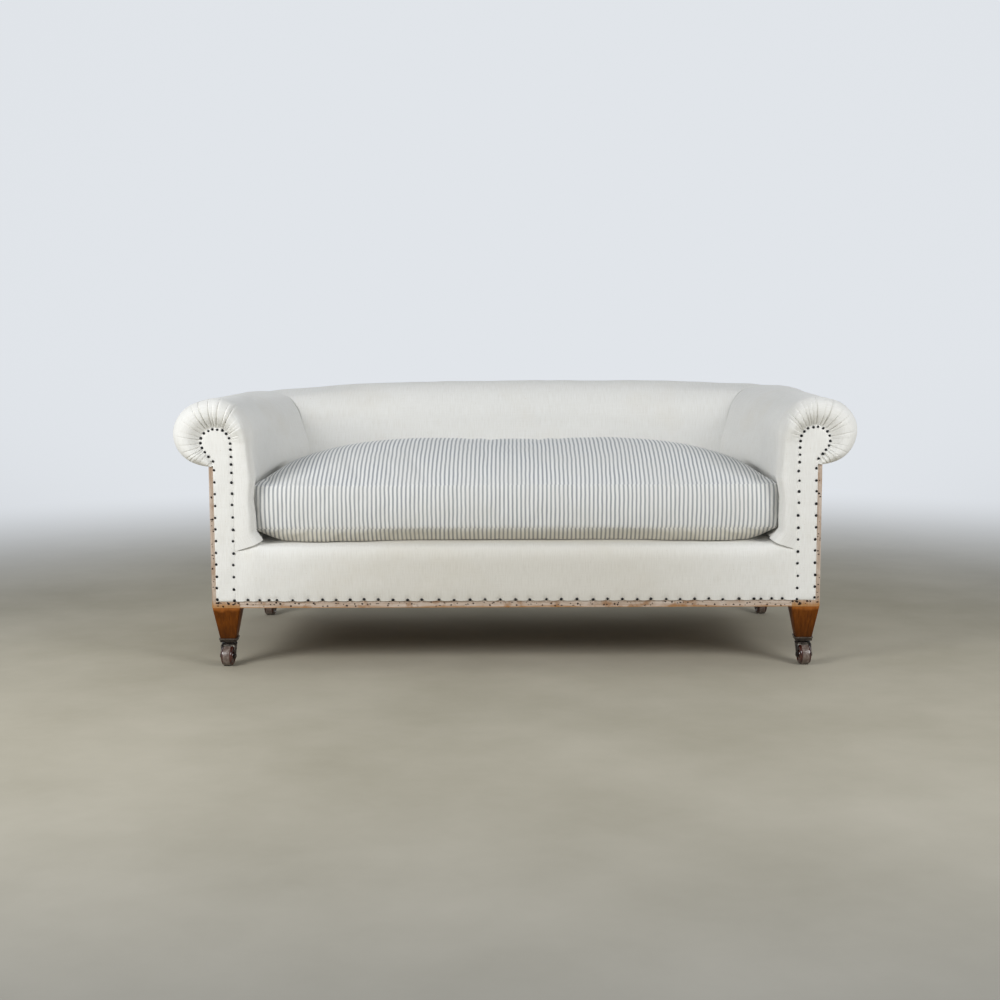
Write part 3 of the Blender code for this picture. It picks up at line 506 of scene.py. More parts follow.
# %% front legs
LEG_FOOT, LEG_EDGE, LEG_TOP_EDGE = 0.039, 0.003, 0.0016
DOWEL_INSET, DOWEL_LENGTH = 0.027, 0.045
for name, _ in SIDES:
    low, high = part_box("front_leg_" + name)
    top = RAIL_Z - HAIR
    middle = (low + high) / 2
    leg = start("cube", size=1, location=(middle.x, middle.y, (low.z + top) / 2),
                scale=(high.x - low.x, high.y - low.y, top - low.z))
    pick(leg, "FACE", lambda face: face.normal.z < -0.9)
    taper = LEG_FOOT / (high.x - low.x)
    resize(taper, taper, 1, (middle.x, middle.y, low.z))
    pick(leg, "EDGE", lambda edge: abs((edge.verts[0].co - edge.verts[1].co).z) > 0.05)
    bpy.ops.mesh.bevel(offset=LEG_EDGE, segments=4)
    pick(leg, "EDGE", lambda edge: min(v.co.z for v in edge.verts) > top - 0.001)
    bpy.ops.mesh.bevel(offset=LEG_TOP_EDGE, segments=3)
    pick(leg, "FACE", lambda face: face.normal.z > 0.99 and face.calc_area() > 0.001)
    bpy.ops.mesh.inset(thickness=DOWEL_INSET)
    extrude(0, 0, DOWEL_LENGTH)
    shade(leg)
    leg.data.materials.append(mahogany)
    belong(leg, "polished_leg_" + name, "sofa", "mahogany", "front_leg_" + name)
print("legs, mm high:", round(1000 * (top - low.z)))

# %% [markdown]
# A castor is drawn once about its own swivel axis and then copied to the four feet. The cup is a
# square box that takes the taper of the foot, with a lighter bead round its rim. The horn is a
# round plate with a boss above it and two cheeks below. The wheel starts as a cylinder: its
# rims are rounded to a barrel, its sides are hollowed, and it is bored for the pin.

# %% sizes of a castor
axle_low, axle_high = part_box("castor_axle_front_left")
AXLE_Z = (axle_low.z + axle_high.z) / 2
TRAIL, TOE_OUT = 0.016, math.radians(4)
HUB, ON_ITS_SIDE = (0, -TRAIL, AXLE_Z), (0, math.pi / 2, 0)
WHEEL_WIDTH, WHEEL_ROUND, BORE = 0.030, 0.0062, 0.0041
HOLLOWS = ((0.0022, 0), (0.0012, -0.0016), (0.0052, 0), (0.001, 0.0014), (0.0012, 0))
CROWN_Z, CROWN_TOP, CROWN_RADIUS = 0.0530, 0.0580, 0.0206
BOSS_TOP, BOSS_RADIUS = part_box("castor_cup_front_left")[0].z - HAIR, 0.0125
SPINDLE_LENGTH, SPINDLE_RADIUS = 0.016, 0.0049
CHEEK_INSIDE, CHEEK, CHEEK_RADIUS = 0.0159, 0.0035, 0.008
PIN_END, PIN_RADIUS, PIN_HEAD = CHEEK_INSIDE + CHEEK + HAIR, 0.0034, 0.0016
CUP_WALL, CUP_BEAD = 0.0016, 0.0034
print("axle height, mm:", round(1000 * AXLE_Z, 2))

# %% castor wheel, modelled once
def sideways(face):
    return abs(face.normal.x) > 0.99 and face.calc_area() > 1e-5


wheel = start("cylinder", vertices=48, radius=AXLE_Z - 0.0001, depth=WHEEL_WIDTH, location=HUB,
              rotation=ON_ITS_SIDE)
pick(wheel, "EDGE", lambda edge: abs(edge.verts[0].co.x - edge.verts[1].co.x) < 1e-6
     and len(edge.link_faces) == 2)
bpy.ops.mesh.bevel(offset=WHEEL_ROUND, segments=6)
for thickness, depth in HOLLOWS:
    pick(wheel, "FACE", sideways)
    bpy.ops.mesh.inset(thickness=thickness, depth=depth, use_individual=True)
pick(wheel, "FACE", lambda face: abs(face.normal.x) > 0.99 and len(face.verts) > 20)
sketch = bmesh.from_edit_mesh(wheel.data)
rim = max(((v.co.y + TRAIL) ** 2 + (v.co.z - AXLE_Z) ** 2) ** 0.5 for v in sketch.verts if v.select)
resize(1, BORE / rim, BORE / rim, HUB)
bpy.ops.mesh.delete(type="ONLY_FACE")
pick(wheel, "EDGE", lambda edge: len(edge.link_faces) == 1)
bpy.ops.mesh.bridge_edge_loops()
shade(wheel, 50)
wheel.data.materials.append(glaze)
wheel.data.materials.append(worn_and_highlit_glaze)
# The tread takes the paler glaze: wear and a painted highlight.
for face in wheel.data.polygons:
    face.material_index = int(abs(face.center.x) < 0.001 and abs(face.normal.x) < 0.1 and face.area > 2e-5)
print("wheel faces:", len(wheel.data.polygons), "bore rim was", round(1000 * rim, 2), "mm")

# %% castor horn and pin, modelled once
horn = start("cylinder", vertices=40, radius=CROWN_RADIUS, depth=CROWN_TOP - CROWN_Z,
             location=(0, 0, (CROWN_Z + CROWN_TOP) / 2))
pick(horn, "EDGE", lambda edge: abs(edge.verts[0].co.z - edge.verts[1].co.z) < 1e-6)
bpy.ops.mesh.bevel(offset=0.0016, segments=3)
for radius, rise in ((BOSS_RADIUS, BOSS_TOP - CROWN_TOP), (SPINDLE_RADIUS, SPINDLE_LENGTH)):
    pick(horn, "FACE", lambda face: face.normal.z > 0.99 and len(face.verts) > 20)
    bpy.ops.mesh.inset(thickness=0.001)
    sketch = bmesh.from_edit_mesh(horn.data)
    rim = max(v.co.xy.length for v in sketch.verts if v.select)
    resize(radius / rim, radius / rim, 1, (0, 0, 0))
    extrude(0, 0, rise)
cheeks = []
for x in (-CHEEK_INSIDE - CHEEK, CHEEK_INSIDE):
    cheek = start("circle", vertices=32, radius=CHEEK_RADIUS, fill_type="NGON",
                  location=(x, -TRAIL, AXLE_Z), rotation=ON_ITS_SIDE)
    pick(cheek, "VERT", lambda vert: vert.co.z > AXLE_Z + 0.002)
    bpy.ops.transform.translate(value=(0, 0.010, CROWN_Z + 0.001 - AXLE_Z - CHEEK_RADIUS))
    resize(1, 1.35, 0.4, (x, -0.006, CROWN_Z + 0.002))
    bpy.ops.mesh.select_all(action="SELECT")
    extrude(CHEEK, 0, 0)
    bpy.ops.mesh.select_all(action="SELECT")
    bpy.ops.mesh.normals_make_consistent(inside=False)
    pick(cheek, "EDGE", lambda edge: edge.calc_face_angle(0) > 1)
    bpy.ops.mesh.bevel(offset=0.0009, segments=2)
    cheeks.append(cheek)
nothing_selected()
for part in (*cheeks, horn):
    part.select_set(True)
bpy.context.view_layer.objects.active = horn
bpy.ops.object.join()
shade(horn)
horn.data.materials.append(bronze)
pin = start("cylinder", vertices=20, radius=PIN_RADIUS, depth=2 * PIN_END, location=HUB, rotation=ON_ITS_SIDE)
pick(pin, "FACE", lambda face: abs(face.normal.x) > 0.99)
bpy.ops.mesh.extrude_faces_move(TRANSFORM_OT_shrink_fatten={"value": PIN_HEAD})
pick(pin, "FACE", lambda face: abs(face.calc_center_median().x) > PIN_END + 0.0001)
resize(1, 1.6, 1.6, HUB)
pick(pin, "EDGE", lambda edge: min(abs(v.co.x) for v in edge.verts) > PIN_END + 0.001)
bpy.ops.mesh.bevel(offset=0.0012, segments=3)
shade(pin)
pin.data.materials.append(bronze)
print("horn and pin faces:", len(horn.data.polygons), len(pin.data.polygons))

# %% castor cups, and copies of the rest at each foot
for corner in CORNERS:
    low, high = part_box("castor_cup_" + corner)
    middle = (low + high) / 2
    wide = high.x - low.x
    cup = start("cube", size=1, location=middle, scale=(wide, wide, high.z - low.z))
    pick(cup, "FACE", lambda face: face.normal.z < -0.9)
    shrink = (LEG_FOOT + 0.003) / wide
    resize(shrink, shrink, 1, (middle.x, middle.y, low.z))
    pick(cup, "EDGE", lambda edge: abs((edge.verts[0].co - edge.verts[1].co).z) > 0.008)
    bpy.ops.mesh.bevel(offset=0.0030, segments=4)
    bpy.ops.mesh.select_all(action="SELECT")
    bpy.ops.mesh.bisect(plane_co=(0, 0, high.z - CUP_BEAD), plane_no=(0, 0, 1))
    pick(cup, "FACE", lambda face: face.normal.z > 0.9)
    bpy.ops.mesh.inset(thickness=CUP_WALL)
    extrude(0, 0, low.z + 0.003 - high.z)
    shrink = (LEG_FOOT + 0.0006) / (wide - 2 * CUP_WALL)
    resize(shrink, shrink, 1, (middle.x, middle.y, low.z))
    pick(cup, "FACE", lambda face: abs(face.normal.z) < 0.5 and face.calc_center_median().z > high.z - CUP_BEAD
         and (face.calc_center_median() - middle).xy.dot(face.normal.xy) > 0)
    bpy.ops.mesh.extrude_region_shrink_fatten(TRANSFORM_OT_shrink_fatten={"value": 0.0008})
    bead = [face.index for face in bmesh.from_edit_mesh(cup.data).faces if face.select]
    shade(cup, 35)
    cup.data.materials.append(bronze)
    cup.data.materials.append(rim_bronze)
    # The bead round the rim takes the lighter bronze.
    for face in bead:
        cup.data.polygons[face].material_index = 1
    belong(cup, "castor_cup_bronze_" + corner, "sofa", "bronze", "castor_cup_" + corner)
    side = -1 if corner.endswith("left") else 1
    turn = Matrix.Translation((middle.x, middle.y, 0)) @ Matrix.Rotation(side * TOE_OUT, 4, "Z")
    for pattern, name, body, slot, node in (
            (horn, "castor_horn_", "castor_", "bronze", "castor_fork_"),
            (pin, "castor_pin_", "castor_", "bronze", "castor_axle_"),
            (wheel, "barrel_wheel_", "wheel_", "glazed_wheel", "castor_wheel_")):
        belong(copied(pattern, turn), name + corner, body + corner, slot, node + corner)
for pattern in (horn, pin, wheel):
    bpy.data.objects.remove(pattern)
print("castors:", len(CORNERS))

# %% [markdown]
# Soft pieces are grids of points. A cover is an outer grid that is seen, and a coarse inner grid
# that lies against the frame, joined round their edges to one closed skin. A thin sheet is two
# equal grids, joined round the rim. Slow waves of a few directions, drawn from a fixed seed, take
# the machine-made evenness out of the stuffing.

# %% lines and waves
def wander(place, size, seed, waves=12):
    """Smooth unevenness of about -1 to 1, with waves of about the given size in metres."""
    draw = np.random.default_rng(seed)
    total = np.zeros(place.shape[:-1])
    for _ in range(waves):
        way = draw.normal(size=3)
        way *= 2 * math.pi / (np.linalg.norm(way) * size * draw.uniform(0.7, 1.5))
        total += np.sin(place @ way + draw.uniform(0, 2 * math.pi))
    return total / math.sqrt(waves)


def soft_step(value, low=0.0, high=1.0):
    t = np.clip((value - low) / (high - low), 0, 1)
    return t * t * (3 - 2 * t)


def bell(distance, width):
    return np.exp(-(distance / width) ** 2)


def lengths(grid, axis=0):
    """Distance along a line, or along the rows or columns of a grid, from its first point."""
    steps = np.linalg.norm(np.diff(grid, axis=axis), axis=-1)
    total = np.cumsum(steps, axis=axis)
    return np.concatenate([np.zeros_like(np.take(total, [0], axis=axis)), total], axis=axis)


def points_at(path, share):
    """Points on a line, at shares of its length."""
    steps = lengths(path)
    return np.stack([np.interp(share * steps[-1], steps, path[:, k]) for k in range(2)], axis=1)


def resample(path, count):
    steps = lengths(path)
    wanted = np.linspace(0, steps[-1], count)
    return np.stack([np.interp(wanted, steps, path[:, k]) for k in range(2)], axis=1)


def round_off(path, passes=3):
    """Cut the corners of an open line until it is smooth."""
    for _ in range(passes):
        cut = np.repeat(path, 2, axis=0)
        cut[1:-1:2] = 0.75 * path[:-1] + 0.25 * path[1:]
        cut[2::2] = 0.25 * path[:-1] + 0.75 * path[1:]
        path = cut
    return path


def swollen(grid, lift, row, top):
    """A grid moved along its normals, which point up at the given point on its crest."""
    normal = np.cross(np.gradient(grid, axis=0), np.gradient(grid, axis=1))
    normal = normal / np.maximum(np.linalg.norm(normal, axis=-1, keepdims=True), 1e-12)
    return grid + normal * np.sign(normal[row, top, 2]) * lift[..., None]


print("a soft step half way:", soft_step(0.5))

# %% faces and sewing
def quads(rows, columns, first=0, ring=False):
    faces = []
    for r in range(rows - 1):
        for c in range(columns if ring else columns - 1):
            d = (c + 1) % columns
            here = first + r * columns
            faces.append((here + c, here + d, here + columns + d, here + columns + c))
    return faces


def tube_faces(rows, columns, first=0):
    """Faces of a closed ring that is drawn along a line, with both of its ends."""
    last = first + (rows - 1) * columns
    return quads(rows, columns, first, ring=True) + [[end + k for k in range(columns)] for end in (first, last)]


def sheet_faces(rows, columns):
    """Faces of a front grid, of the same grid behind it, and of the rim between them."""
    half = rows * columns
    rim = [r * columns for r in range(rows)] + [(rows - 1) * columns + c for c in range(1, columns)]
    rim += [r * columns + columns - 1 for r in range(rows - 2, -1, -1)] + list(range(columns - 2, 0, -1))
    faces = quads(rows, columns) + quads(rows, columns, half)
    return faces + [(a, b, b + half, a + half) for a, b in zip(rim, rim[1:] + rim[:1])]


def closed_faces(rows, columns, inner_rows, inner_columns):
    """Faces of an outer grid, a coarser inner grid that follows it, and the edges between them."""
    first, count = rows * columns, len(inner_columns)
    faces = quads(rows, columns) + quads(len(inner_rows), count, first)
    for edge, inner in ((0, 0), (columns - 1, count - 1)):
        for k, (a, b) in enumerate(zip(inner_rows, inner_rows[1:])):
            rim = [r * columns + edge for r in range(a, b + 1)]
            faces.append(rim + [first + (k + 1) * count + inner, first + k * count + inner])
    for edge, inner in ((0, 0), (rows - 1, len(inner_rows) - 1)):
        for k, (a, b) in enumerate(zip(inner_columns, inner_columns[1:])):
            rim = [edge * columns + c for c in range(a, b + 1)]
            faces.append(rim + [first + inner * count + k + 1, first + inner * count + k])
    return faces


def sew(name, points, faces, uv, finish, body="sofa", slot="calico", merge=0.0):
    """A mesh piece with its faces outwards and its UV map in metres."""
    mesh = bpy.data.meshes.new(name)
    mesh.from_pydata(np.reshape(points, (-1, 3)).tolist(), [], faces)
    corner = np.empty(len(mesh.loops), dtype=np.int32)
    mesh.loops.foreach_get("vertex_index", corner)
    mesh.uv_layers.new(name="UVMap").data.foreach_set("uv", np.reshape(uv, (-1, 2))[corner].ravel())
    sketch = bmesh.new()
    sketch.from_mesh(mesh)
    if merge:
        bmesh.ops.remove_doubles(sketch, verts=sketch.verts, dist=merge)
    bmesh.ops.recalc_face_normals(sketch, faces=sketch.faces)
    sketch.to_mesh(mesh)
    sketch.free()
    piece = bpy.data.objects.new(name, mesh)
    bpy.context.scene.collection.objects.link(piece)
    mesh.materials.append(finish)
    shade(piece, 55)
    return belong(piece, name, body, slot)


def padded_cover(name, grid, inner, uv, inner_uv, inner_rows, inner_columns):
    """A stuffed calico cover, from its outer and inner grid."""
    points = np.concatenate([grid.reshape(-1, 3), inner.reshape(-1, 3)])
    uv = np.concatenate([uv.reshape(-1, 2), inner_uv.reshape(-1, 2)])
    faces = closed_faces(*grid.shape[:2], inner_rows, list(inner_columns))
    piece = sew(name, points, faces, uv, calico)
    return piece


print("faces of a sheet of 3 by 3 points:", len(sheet_faces(3, 3)))

# %% [markdown]
# The line of the roll is the same on the arms and the back: up the inside, over a shoulder, and
# round an outward roll that ends under itself. In plan it turns the rear corners on an arc over the
# crest. On the inside, the stuffing swells towards the corner and the two sides meet in a fold.

# %% line of the roll
ARM_TOP = 0.6955
ROLL_OUT, ROLL_HALF, ROLL_STEPS = 0.091, 0.085, 400
SHOULDER_IN, SHOULDER_DROP = 0.097, 0.104
ARM_FOOT_IN, BACK_FOOT_IN = 0.125, 0.165


def roll_line():
    """Points of (arm u, back u, z), close together."""
    knee = ARM_TOP - SHOULDER_DROP
    t = np.linspace(0, 1, ROLL_STEPS)
    ease = (1 - t) ** 1.5
    inside = np.stack([-SHOULDER_IN - (ARM_FOOT_IN - SHOULDER_IN) * ease,
                       -SHOULDER_IN - (BACK_FOOT_IN - SHOULDER_IN) * ease,
                       FOOT_Z + (knee - FOOT_Z) * t], axis=1)
    turn = np.radians(np.linspace(180, 90, ROLL_STEPS))[1:]
    over = SHOULDER_IN * np.cos(turn)
    shoulder = np.stack([over, over, knee + SHOULDER_DROP * np.sin(turn)], axis=1)
    turn = np.radians(np.linspace(90, -90, ROLL_STEPS))[1:]
    over = ROLL_OUT * np.cos(turn) + 0.0004
    roll = np.stack([over, over, ARM_TOP - ROLL_HALF + ROLL_HALF * np.sin(turn)], axis=1)
    return np.concatenate([inside, shoulder, roll])


line = roll_line()
run = lengths(line[:, ::2])
print("cloth over one arm, m:", round(float(run[-1]), 3))

# %% rear corners, crown and crease
CORNER_RADIUS, CORNER_SPREAD = 0.113, 0.5
CORNER_FILL, CORNER_EASE = 0.095, 0.055
CORNER_LOW, CORNER_LENGTH = 0.07, 0.34
BACK_RISE, LEFT_DIP, RIGHT_RISE = 0.022, 0.006, 0.008
MITRE_SLIT = 0.06
BENDS = (45 - MITRE_SLIT) * (1 - (1 - np.linspace(0, 1, 28)) ** 1.7)
CREASE_Z, CREASE_SHARP = [0.33, 0.54, 0.62, 0.69], [0.0, 0.0, 0.0001, 0.0003]
CREASE_SOFT = [0.001, 0.001, 0.002, 0.003]
LINING = 0.0005
HEAD_MEETS = -math.degrees(math.acos(-HEAD_U / HEAD_RADIUS))


def corner_radius(u, z):
    inside = CORNER_FILL * soft_step(-u, 0, CORNER_EASE) + CORNER_LOW * soft_step(-z, -0.62, -0.53)
    return CORNER_RADIUS + CORNER_SPREAD * np.maximum(u, 0) + inside * (u < 0)


def plan(arm_u, back_u, radius, turn):
    """Where a line of the roll is in plan, from the arm (turn 0) round the corner to the back (90)."""
    share = min(turn, 90 - turn) / 45
    flat = soft_step(-(arm_u + back_u) / 2, 0, 0.06)
    fold = radius * (1 - math.sqrt(0.5))
    near, far = fold * share ** 1.6, CORNER_LENGTH + (fold - CORNER_LENGTH) * share
    near, far = (near, far) if turn < 45 else (far, near)
    turn = math.radians(turn)
    return (SIDE_X + arm_u - (1 - flat) * radius * (1 - math.cos(turn)) - flat * near,
            BACK_Y + back_u - (1 - flat) * radius * (1 - math.sin(turn)) - flat * far)


def crown(x, y, z, turn):
    """The back rises towards its middle, the left rear corner dips, and the right one stands high."""
    under = ARM_TOP - 2 * ROLL_HALF
    height = np.maximum(0, (z - under) / (ARM_TOP - under))
    rise = BACK_RISE * math.sin(math.radians(turn)) ** 2 * np.maximum(0, 1 - (x / SIDE_X) ** 2)
    ends = RIGHT_RISE * soft_step(x, 0.30, 0.66) - LEFT_DIP * soft_step(-x, 0.45, 0.72)
    return height * (rise + ends * soft_step(y, -0.2, 0.2))


def crease(distance, z):
    """Depth of the fold where the arm and back covers meet: sharp over the shoulder, soft below."""
    return (np.interp(z, CREASE_Z, CREASE_SHARP) * np.exp(-distance / 0.005)
            + np.interp(z, CREASE_Z, CREASE_SOFT) * bell(distance, 0.030))


def post_line(stem_z, degrees):
    """The side of a post that an inner grid lies against, as u and z: up the stem and round the head."""
    turn = np.radians(degrees)
    reach = HEAD_RADIUS + LINING
    return (np.concatenate([np.full(len(stem_z), -POST_WIDTH - LINING), HEAD_U + reach * np.cos(turn)]),
            np.concatenate([stem_z, HEAD_Z + reach * np.sin(turn)]))


print("the roll ends under the head at, degrees:", round(HEAD_MEETS, 1))

# %% [markdown]
# The front end of an arm is a padded half ring. The cover comes round the edge, swells, and is
# drawn down to a line of tacks on the post. The cloth that is left over at the head is laid in
# pleats: each starts at a tack, has one steep side, and dies out before it reaches the crest.
# Angles are counted round the head: 0 points outwards, 90 up, and from 180 to 240 down the stem.

# %% pleats of an arm front
PLEAT_HEIGHT, PLEAT_CUT, PLEAT_CUT_WIDTH = 0.0056, 0.0030, 0.95
PLEAT_FIRST, PLEAT_LAST = -74.0, 190
PLEAT_STEEP = 0.14


def pleats(turn, seed):
    """Relief of the pleats round the head, and how far out each one reaches, by angle in degrees."""
    draw = np.random.default_rng(seed)
    edges = [PLEAT_FIRST]
    while edges[-1] < PLEAT_LAST:
        edges.append(edges[-1] + draw.choice([7.0, 10.0, 14.0]) * draw.uniform(0.85, 1.15))
    edges = np.array(edges)
    strength = np.interp(edges, [-74, -45, -15, 30, 60, 90, 145, 175, 195],
                         [0.75, 0.6, 0.35, 0.35, 0.9, 1.15, 1.0, 0.15, 0.0])
    strength = strength * draw.uniform(0.4, 1.35, len(edges))
    k = np.clip(np.searchsorted(edges, turn) - 1, 0, len(edges) - 2)
    t = np.clip((turn - edges[k]) / (edges[k + 1] - edges[k]), 0, 1)
    slack = (np.maximum(t, PLEAT_STEEP) - PLEAT_STEEP) / (1 - PLEAT_STEEP)
    fold = np.where(t < PLEAT_STEEP, (t / PLEAT_STEEP) ** 0.8, 1 - 0.75 * slack ** 1.5)
    height = strength[k] * (1 - t) + strength[k + 1] * t
    cut = bell(turn - edges[k], PLEAT_CUT_WIDTH) + bell(turn - edges[k + 1], PLEAT_CUT_WIDTH)
    reach = (0.5 + 0.45 * height) * np.interp(turn, [100, 140, 180], [1, 0.8, 0.45])
    return height * (PLEAT_HEIGHT * (fold - 0.8) - PLEAT_CUT * cut), reach


print("pleats on an arm, about:", round((PLEAT_LAST - PLEAT_FIRST) / 11))

# %% lines across an arm
TACK_CENTRE, TACK_RADII = (-0.0195, 0.5880), (0.0383, 0.0348)
TACK_STEM_U, SEAM_LOW_Z = -0.0592, 0.304
NECK = ([-71, -60, -50], [-0.0130, -0.0055, 0.0038], [0.5275, 0.5475, 0.5629])
turns = np.degrees(np.arctan2(line[:, 2] - HEAD_Z, line[:, 0] - HEAD_U))
turns = np.mod(turns + 90, 360) - 90
stem = np.linspace(0, 1, 56)[:-1]
stem_z = FOOT_Z + (HEAD_Z - FOOT_Z) * stem
head = np.linspace(180, turns[-1], 380)
head_u, head_z = np.cos(np.radians(head)), np.sin(np.radians(head))
arm_run = np.concatenate([np.interp(stem_z, line[:ROLL_STEPS, 2], run[:ROLL_STEPS]),
                          np.interp(-head, -turns, run)])
arm_u, back_u, arm_z = (np.interp(arm_run, run, line[:, k]) for k in range(3))
angle = np.concatenate([np.linspace(240, 181, len(stem)), head])
tack_u = np.concatenate([np.full(len(stem), TACK_STEM_U + 0.001),
                         TACK_CENTRE[0] + (TACK_RADII[0] - 0.002) * head_u])
tack_z = np.concatenate([SEAM_LOW_Z + (TACK_CENTRE[1] - SEAM_LOW_Z) * stem,
                         TACK_CENTRE[1] + (TACK_RADII[1] - 0.002) * head_z])
tack_u = np.where(angle < NECK[0][-1], np.interp(angle, NECK[0], NECK[1]), tack_u)
tack_z = np.where(angle < NECK[0][-1], np.interp(angle, NECK[0], NECK[2]), tack_z)
print("points across an arm:", len(arm_run))

# %% [markdown]
# The two arms of the real sofa aren't quite alike: each front edge has its own fullness, given in
# millimetres by angle.

# %% front end of an arm
FLAP, TUCK = 0.0008, 0.004
STEM_BULGE, HEAD_BULGE, FRONT_ROUND = 0.010, 0.0225, 0.032
ARM_START = FRONT_Y - STEM_BULGE + FRONT_ROUND
EDGE_LENGTH, EDGE_ANGLES = 0.14, [70, 115, 203, 209, 214, 225, 234, 240]
EDGE_FULL = {-1: [0, 14, 14, 8, 4, 1, -4.5, 8], 1: [0, 14, 13, 3, -3, -9, -14, 4]}


def arm_front(side):
    """Rows from the tack line out over the swelling and round the edge, and the line of that edge."""
    full = 0.001 * np.interp(angle, EDGE_ANGLES, EDGE_FULL[side])
    front_u = arm_u + full * np.concatenate([np.full(len(stem), -1.0), head_u])
    front_z = arm_z + full * np.concatenate([np.zeros(len(stem)), head_z])
    gap = np.hypot(front_u - tack_u, front_z - tack_z)
    crest = gap * np.interp(angle, [90, 140, 185], [0.44, 0.42, 0.30])
    tuck = TUCK * np.clip(1 - (arm_z - FOOT_Z) / 0.04, 0, 1) * (angle > 180)
    bulge = np.interp(angle, [-70, -35, 150, 190], [0.35 * HEAD_BULGE, HEAD_BULGE, HEAD_BULGE, STEM_BULGE])
    rows = []

    def add_row(share, y, tucked):
        rows.append((SIDE_X + front_u + (tack_u - front_u) * share, y,
                     front_z + (tack_z - front_z) * share - tuck * tucked))

    for beta in np.linspace(1, 0, 28):
        y = FRONT_Y - bulge + (bulge - FLAP) * soft_step(beta ** 1.3)
        add_row((crest + (gap - crest) * beta) / gap, y, 1 - beta)
    for alpha in np.radians(np.linspace(90, 0, 24)[1:]):
        y = ARM_START - (ARM_START - FRONT_Y + bulge) * math.sin(alpha)
        add_row(crest * (1 - math.cos(alpha)) / gap, y, math.sin(alpha))
    return rows, front_u, front_z


print("rows of an arm front:", len(arm_front(1)[0]))

# %% [markdown]
# Behind its front, an arm runs straight back and bends half way round the rear corner. The loose
# cushion presses a shallow hollow into its inside.

# %% arm covers
CUSHION_END = ([0.330, 0.345, 0.36, 0.38, 0.41, 0.44, 0.465, 0.48, 0.50, 0.53],
               [0.660, 0.680, 0.688, 0.692, 0.695, 0.695, 0.692, 0.687, 0.660, 0.60])
FAR = 9.0


def arm_cover(name, side, seed):
    rows, front_u, front_z = arm_front(side)
    cap = len(rows) - 1
    radius = corner_radius((arm_u + back_u) / 2, arm_z)
    end = plan(arm_u, back_u, radius, 0)[1]
    straight, bends = np.linspace(0, 1, 76)[1:], BENDS[1:]
    for v in straight:
        y = ARM_START + (end - ARM_START) * v
        near = 1 - soft_step(y - ARM_START, 0, EDGE_LENGTH)
        x = SIDE_X + arm_u + (front_u - arm_u) * near
        rows.append((x, y, arm_z + (front_z - arm_z) * near + crown(side * x, y, arm_z, 0)))
    for turn in bends:
        x, y = plan(arm_u, back_u, radius, turn)
        rows.append((x, y, arm_z + crown(side * x, y, arm_z, turn)))
    grid = np.array(rows).transpose(0, 2, 1)
    along = lengths(grid)
    reached = along / along[cap]
    relief, reach = pleats(angle, seed)
    lift = relief * np.clip(1 - reached / reach, 0, 1) ** 0.6 * soft_step(reached, 0, 0.12)
    lift += soft_step(reached, 0.1, 0.6) * (0.0013 * wander(grid, 0.26, seed + 1)
                                            + 0.0005 * wander(grid, 0.07, seed + 2))
    distance = np.full(grid.shape[:2], FAR)
    distance[-len(bends):] = radius * np.radians(45 - bends)[:, None]
    lift -= crease(distance, grid[..., 2])
    grid = swollen(grid, lift, cap + 5, np.argmax(arm_z))
    over = np.interp(grid[..., 2], *CUSHION_END) - grid[..., 0]
    press = 0.5 * (over + np.sqrt(over ** 2 + 0.004 ** 2)) * (grid[..., 0] < SIDE_X - POST_WIDTH)
    grid[..., 0] += (press * soft_step(grid[..., 1] - FRONT_Y, 0.014, 0.046)
                     * soft_step(-grid[..., 1], -0.06, 0.02))

    inner_columns = np.unique(np.linspace(0, len(arm_run) - 1, 24).astype(int))
    inner_rows = [0, cap, cap + 25, cap + 50] + list(range(cap + 75, len(rows), 3))
    inner_rows[-1] = len(rows) - 1
    degrees = np.interp(head, [turns[-1], 180], [HEAD_MEETS, 180])
    post_u, post_z = (edge[inner_columns] for edge in post_line(stem_z, degrees))
    post_radius = CORNER_RADIUS + CORNER_SPREAD * post_u
    post_end = plan(post_u, post_u, post_radius, 0)[1]
    inner = []
    for row in inner_rows:
        x, y = SIDE_X + post_u, 0 * post_u + (FRONT_Y - FLAP / 2)
        past = row - cap - len(straight)
        if past > 0:
            x, y = plan(post_u, post_u, post_radius, bends[past - 1])
        elif row:
            y = 0 * post_u + (ARM_START + (post_end - ARM_START) * (max(0, row - cap) / len(straight)))
        inner.append((x, y, post_z))
    inner = np.array(inner).transpose(0, 2, 1)
    uv = np.stack([along - along[cap], np.broadcast_to(arm_run, along.shape)], axis=-1)
    mirror = [side, 1, 1]
    return padded_cover(name, grid * mirror, inner * mirror, uv, inner[..., 1:], inner_rows, inner_columns)


for name, side in SIDES:
    cover = arm_cover("arm_cover_" + name, side, 21 if side < 0 else 34)
    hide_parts("arm_pad_" + name)
print("faces of an arm cover:", len(cover.data.polygons))

# %% [markdown]
# The back cover is one long sweep of the same line, from mitre to mitre, and it rises a little
# towards its middle.

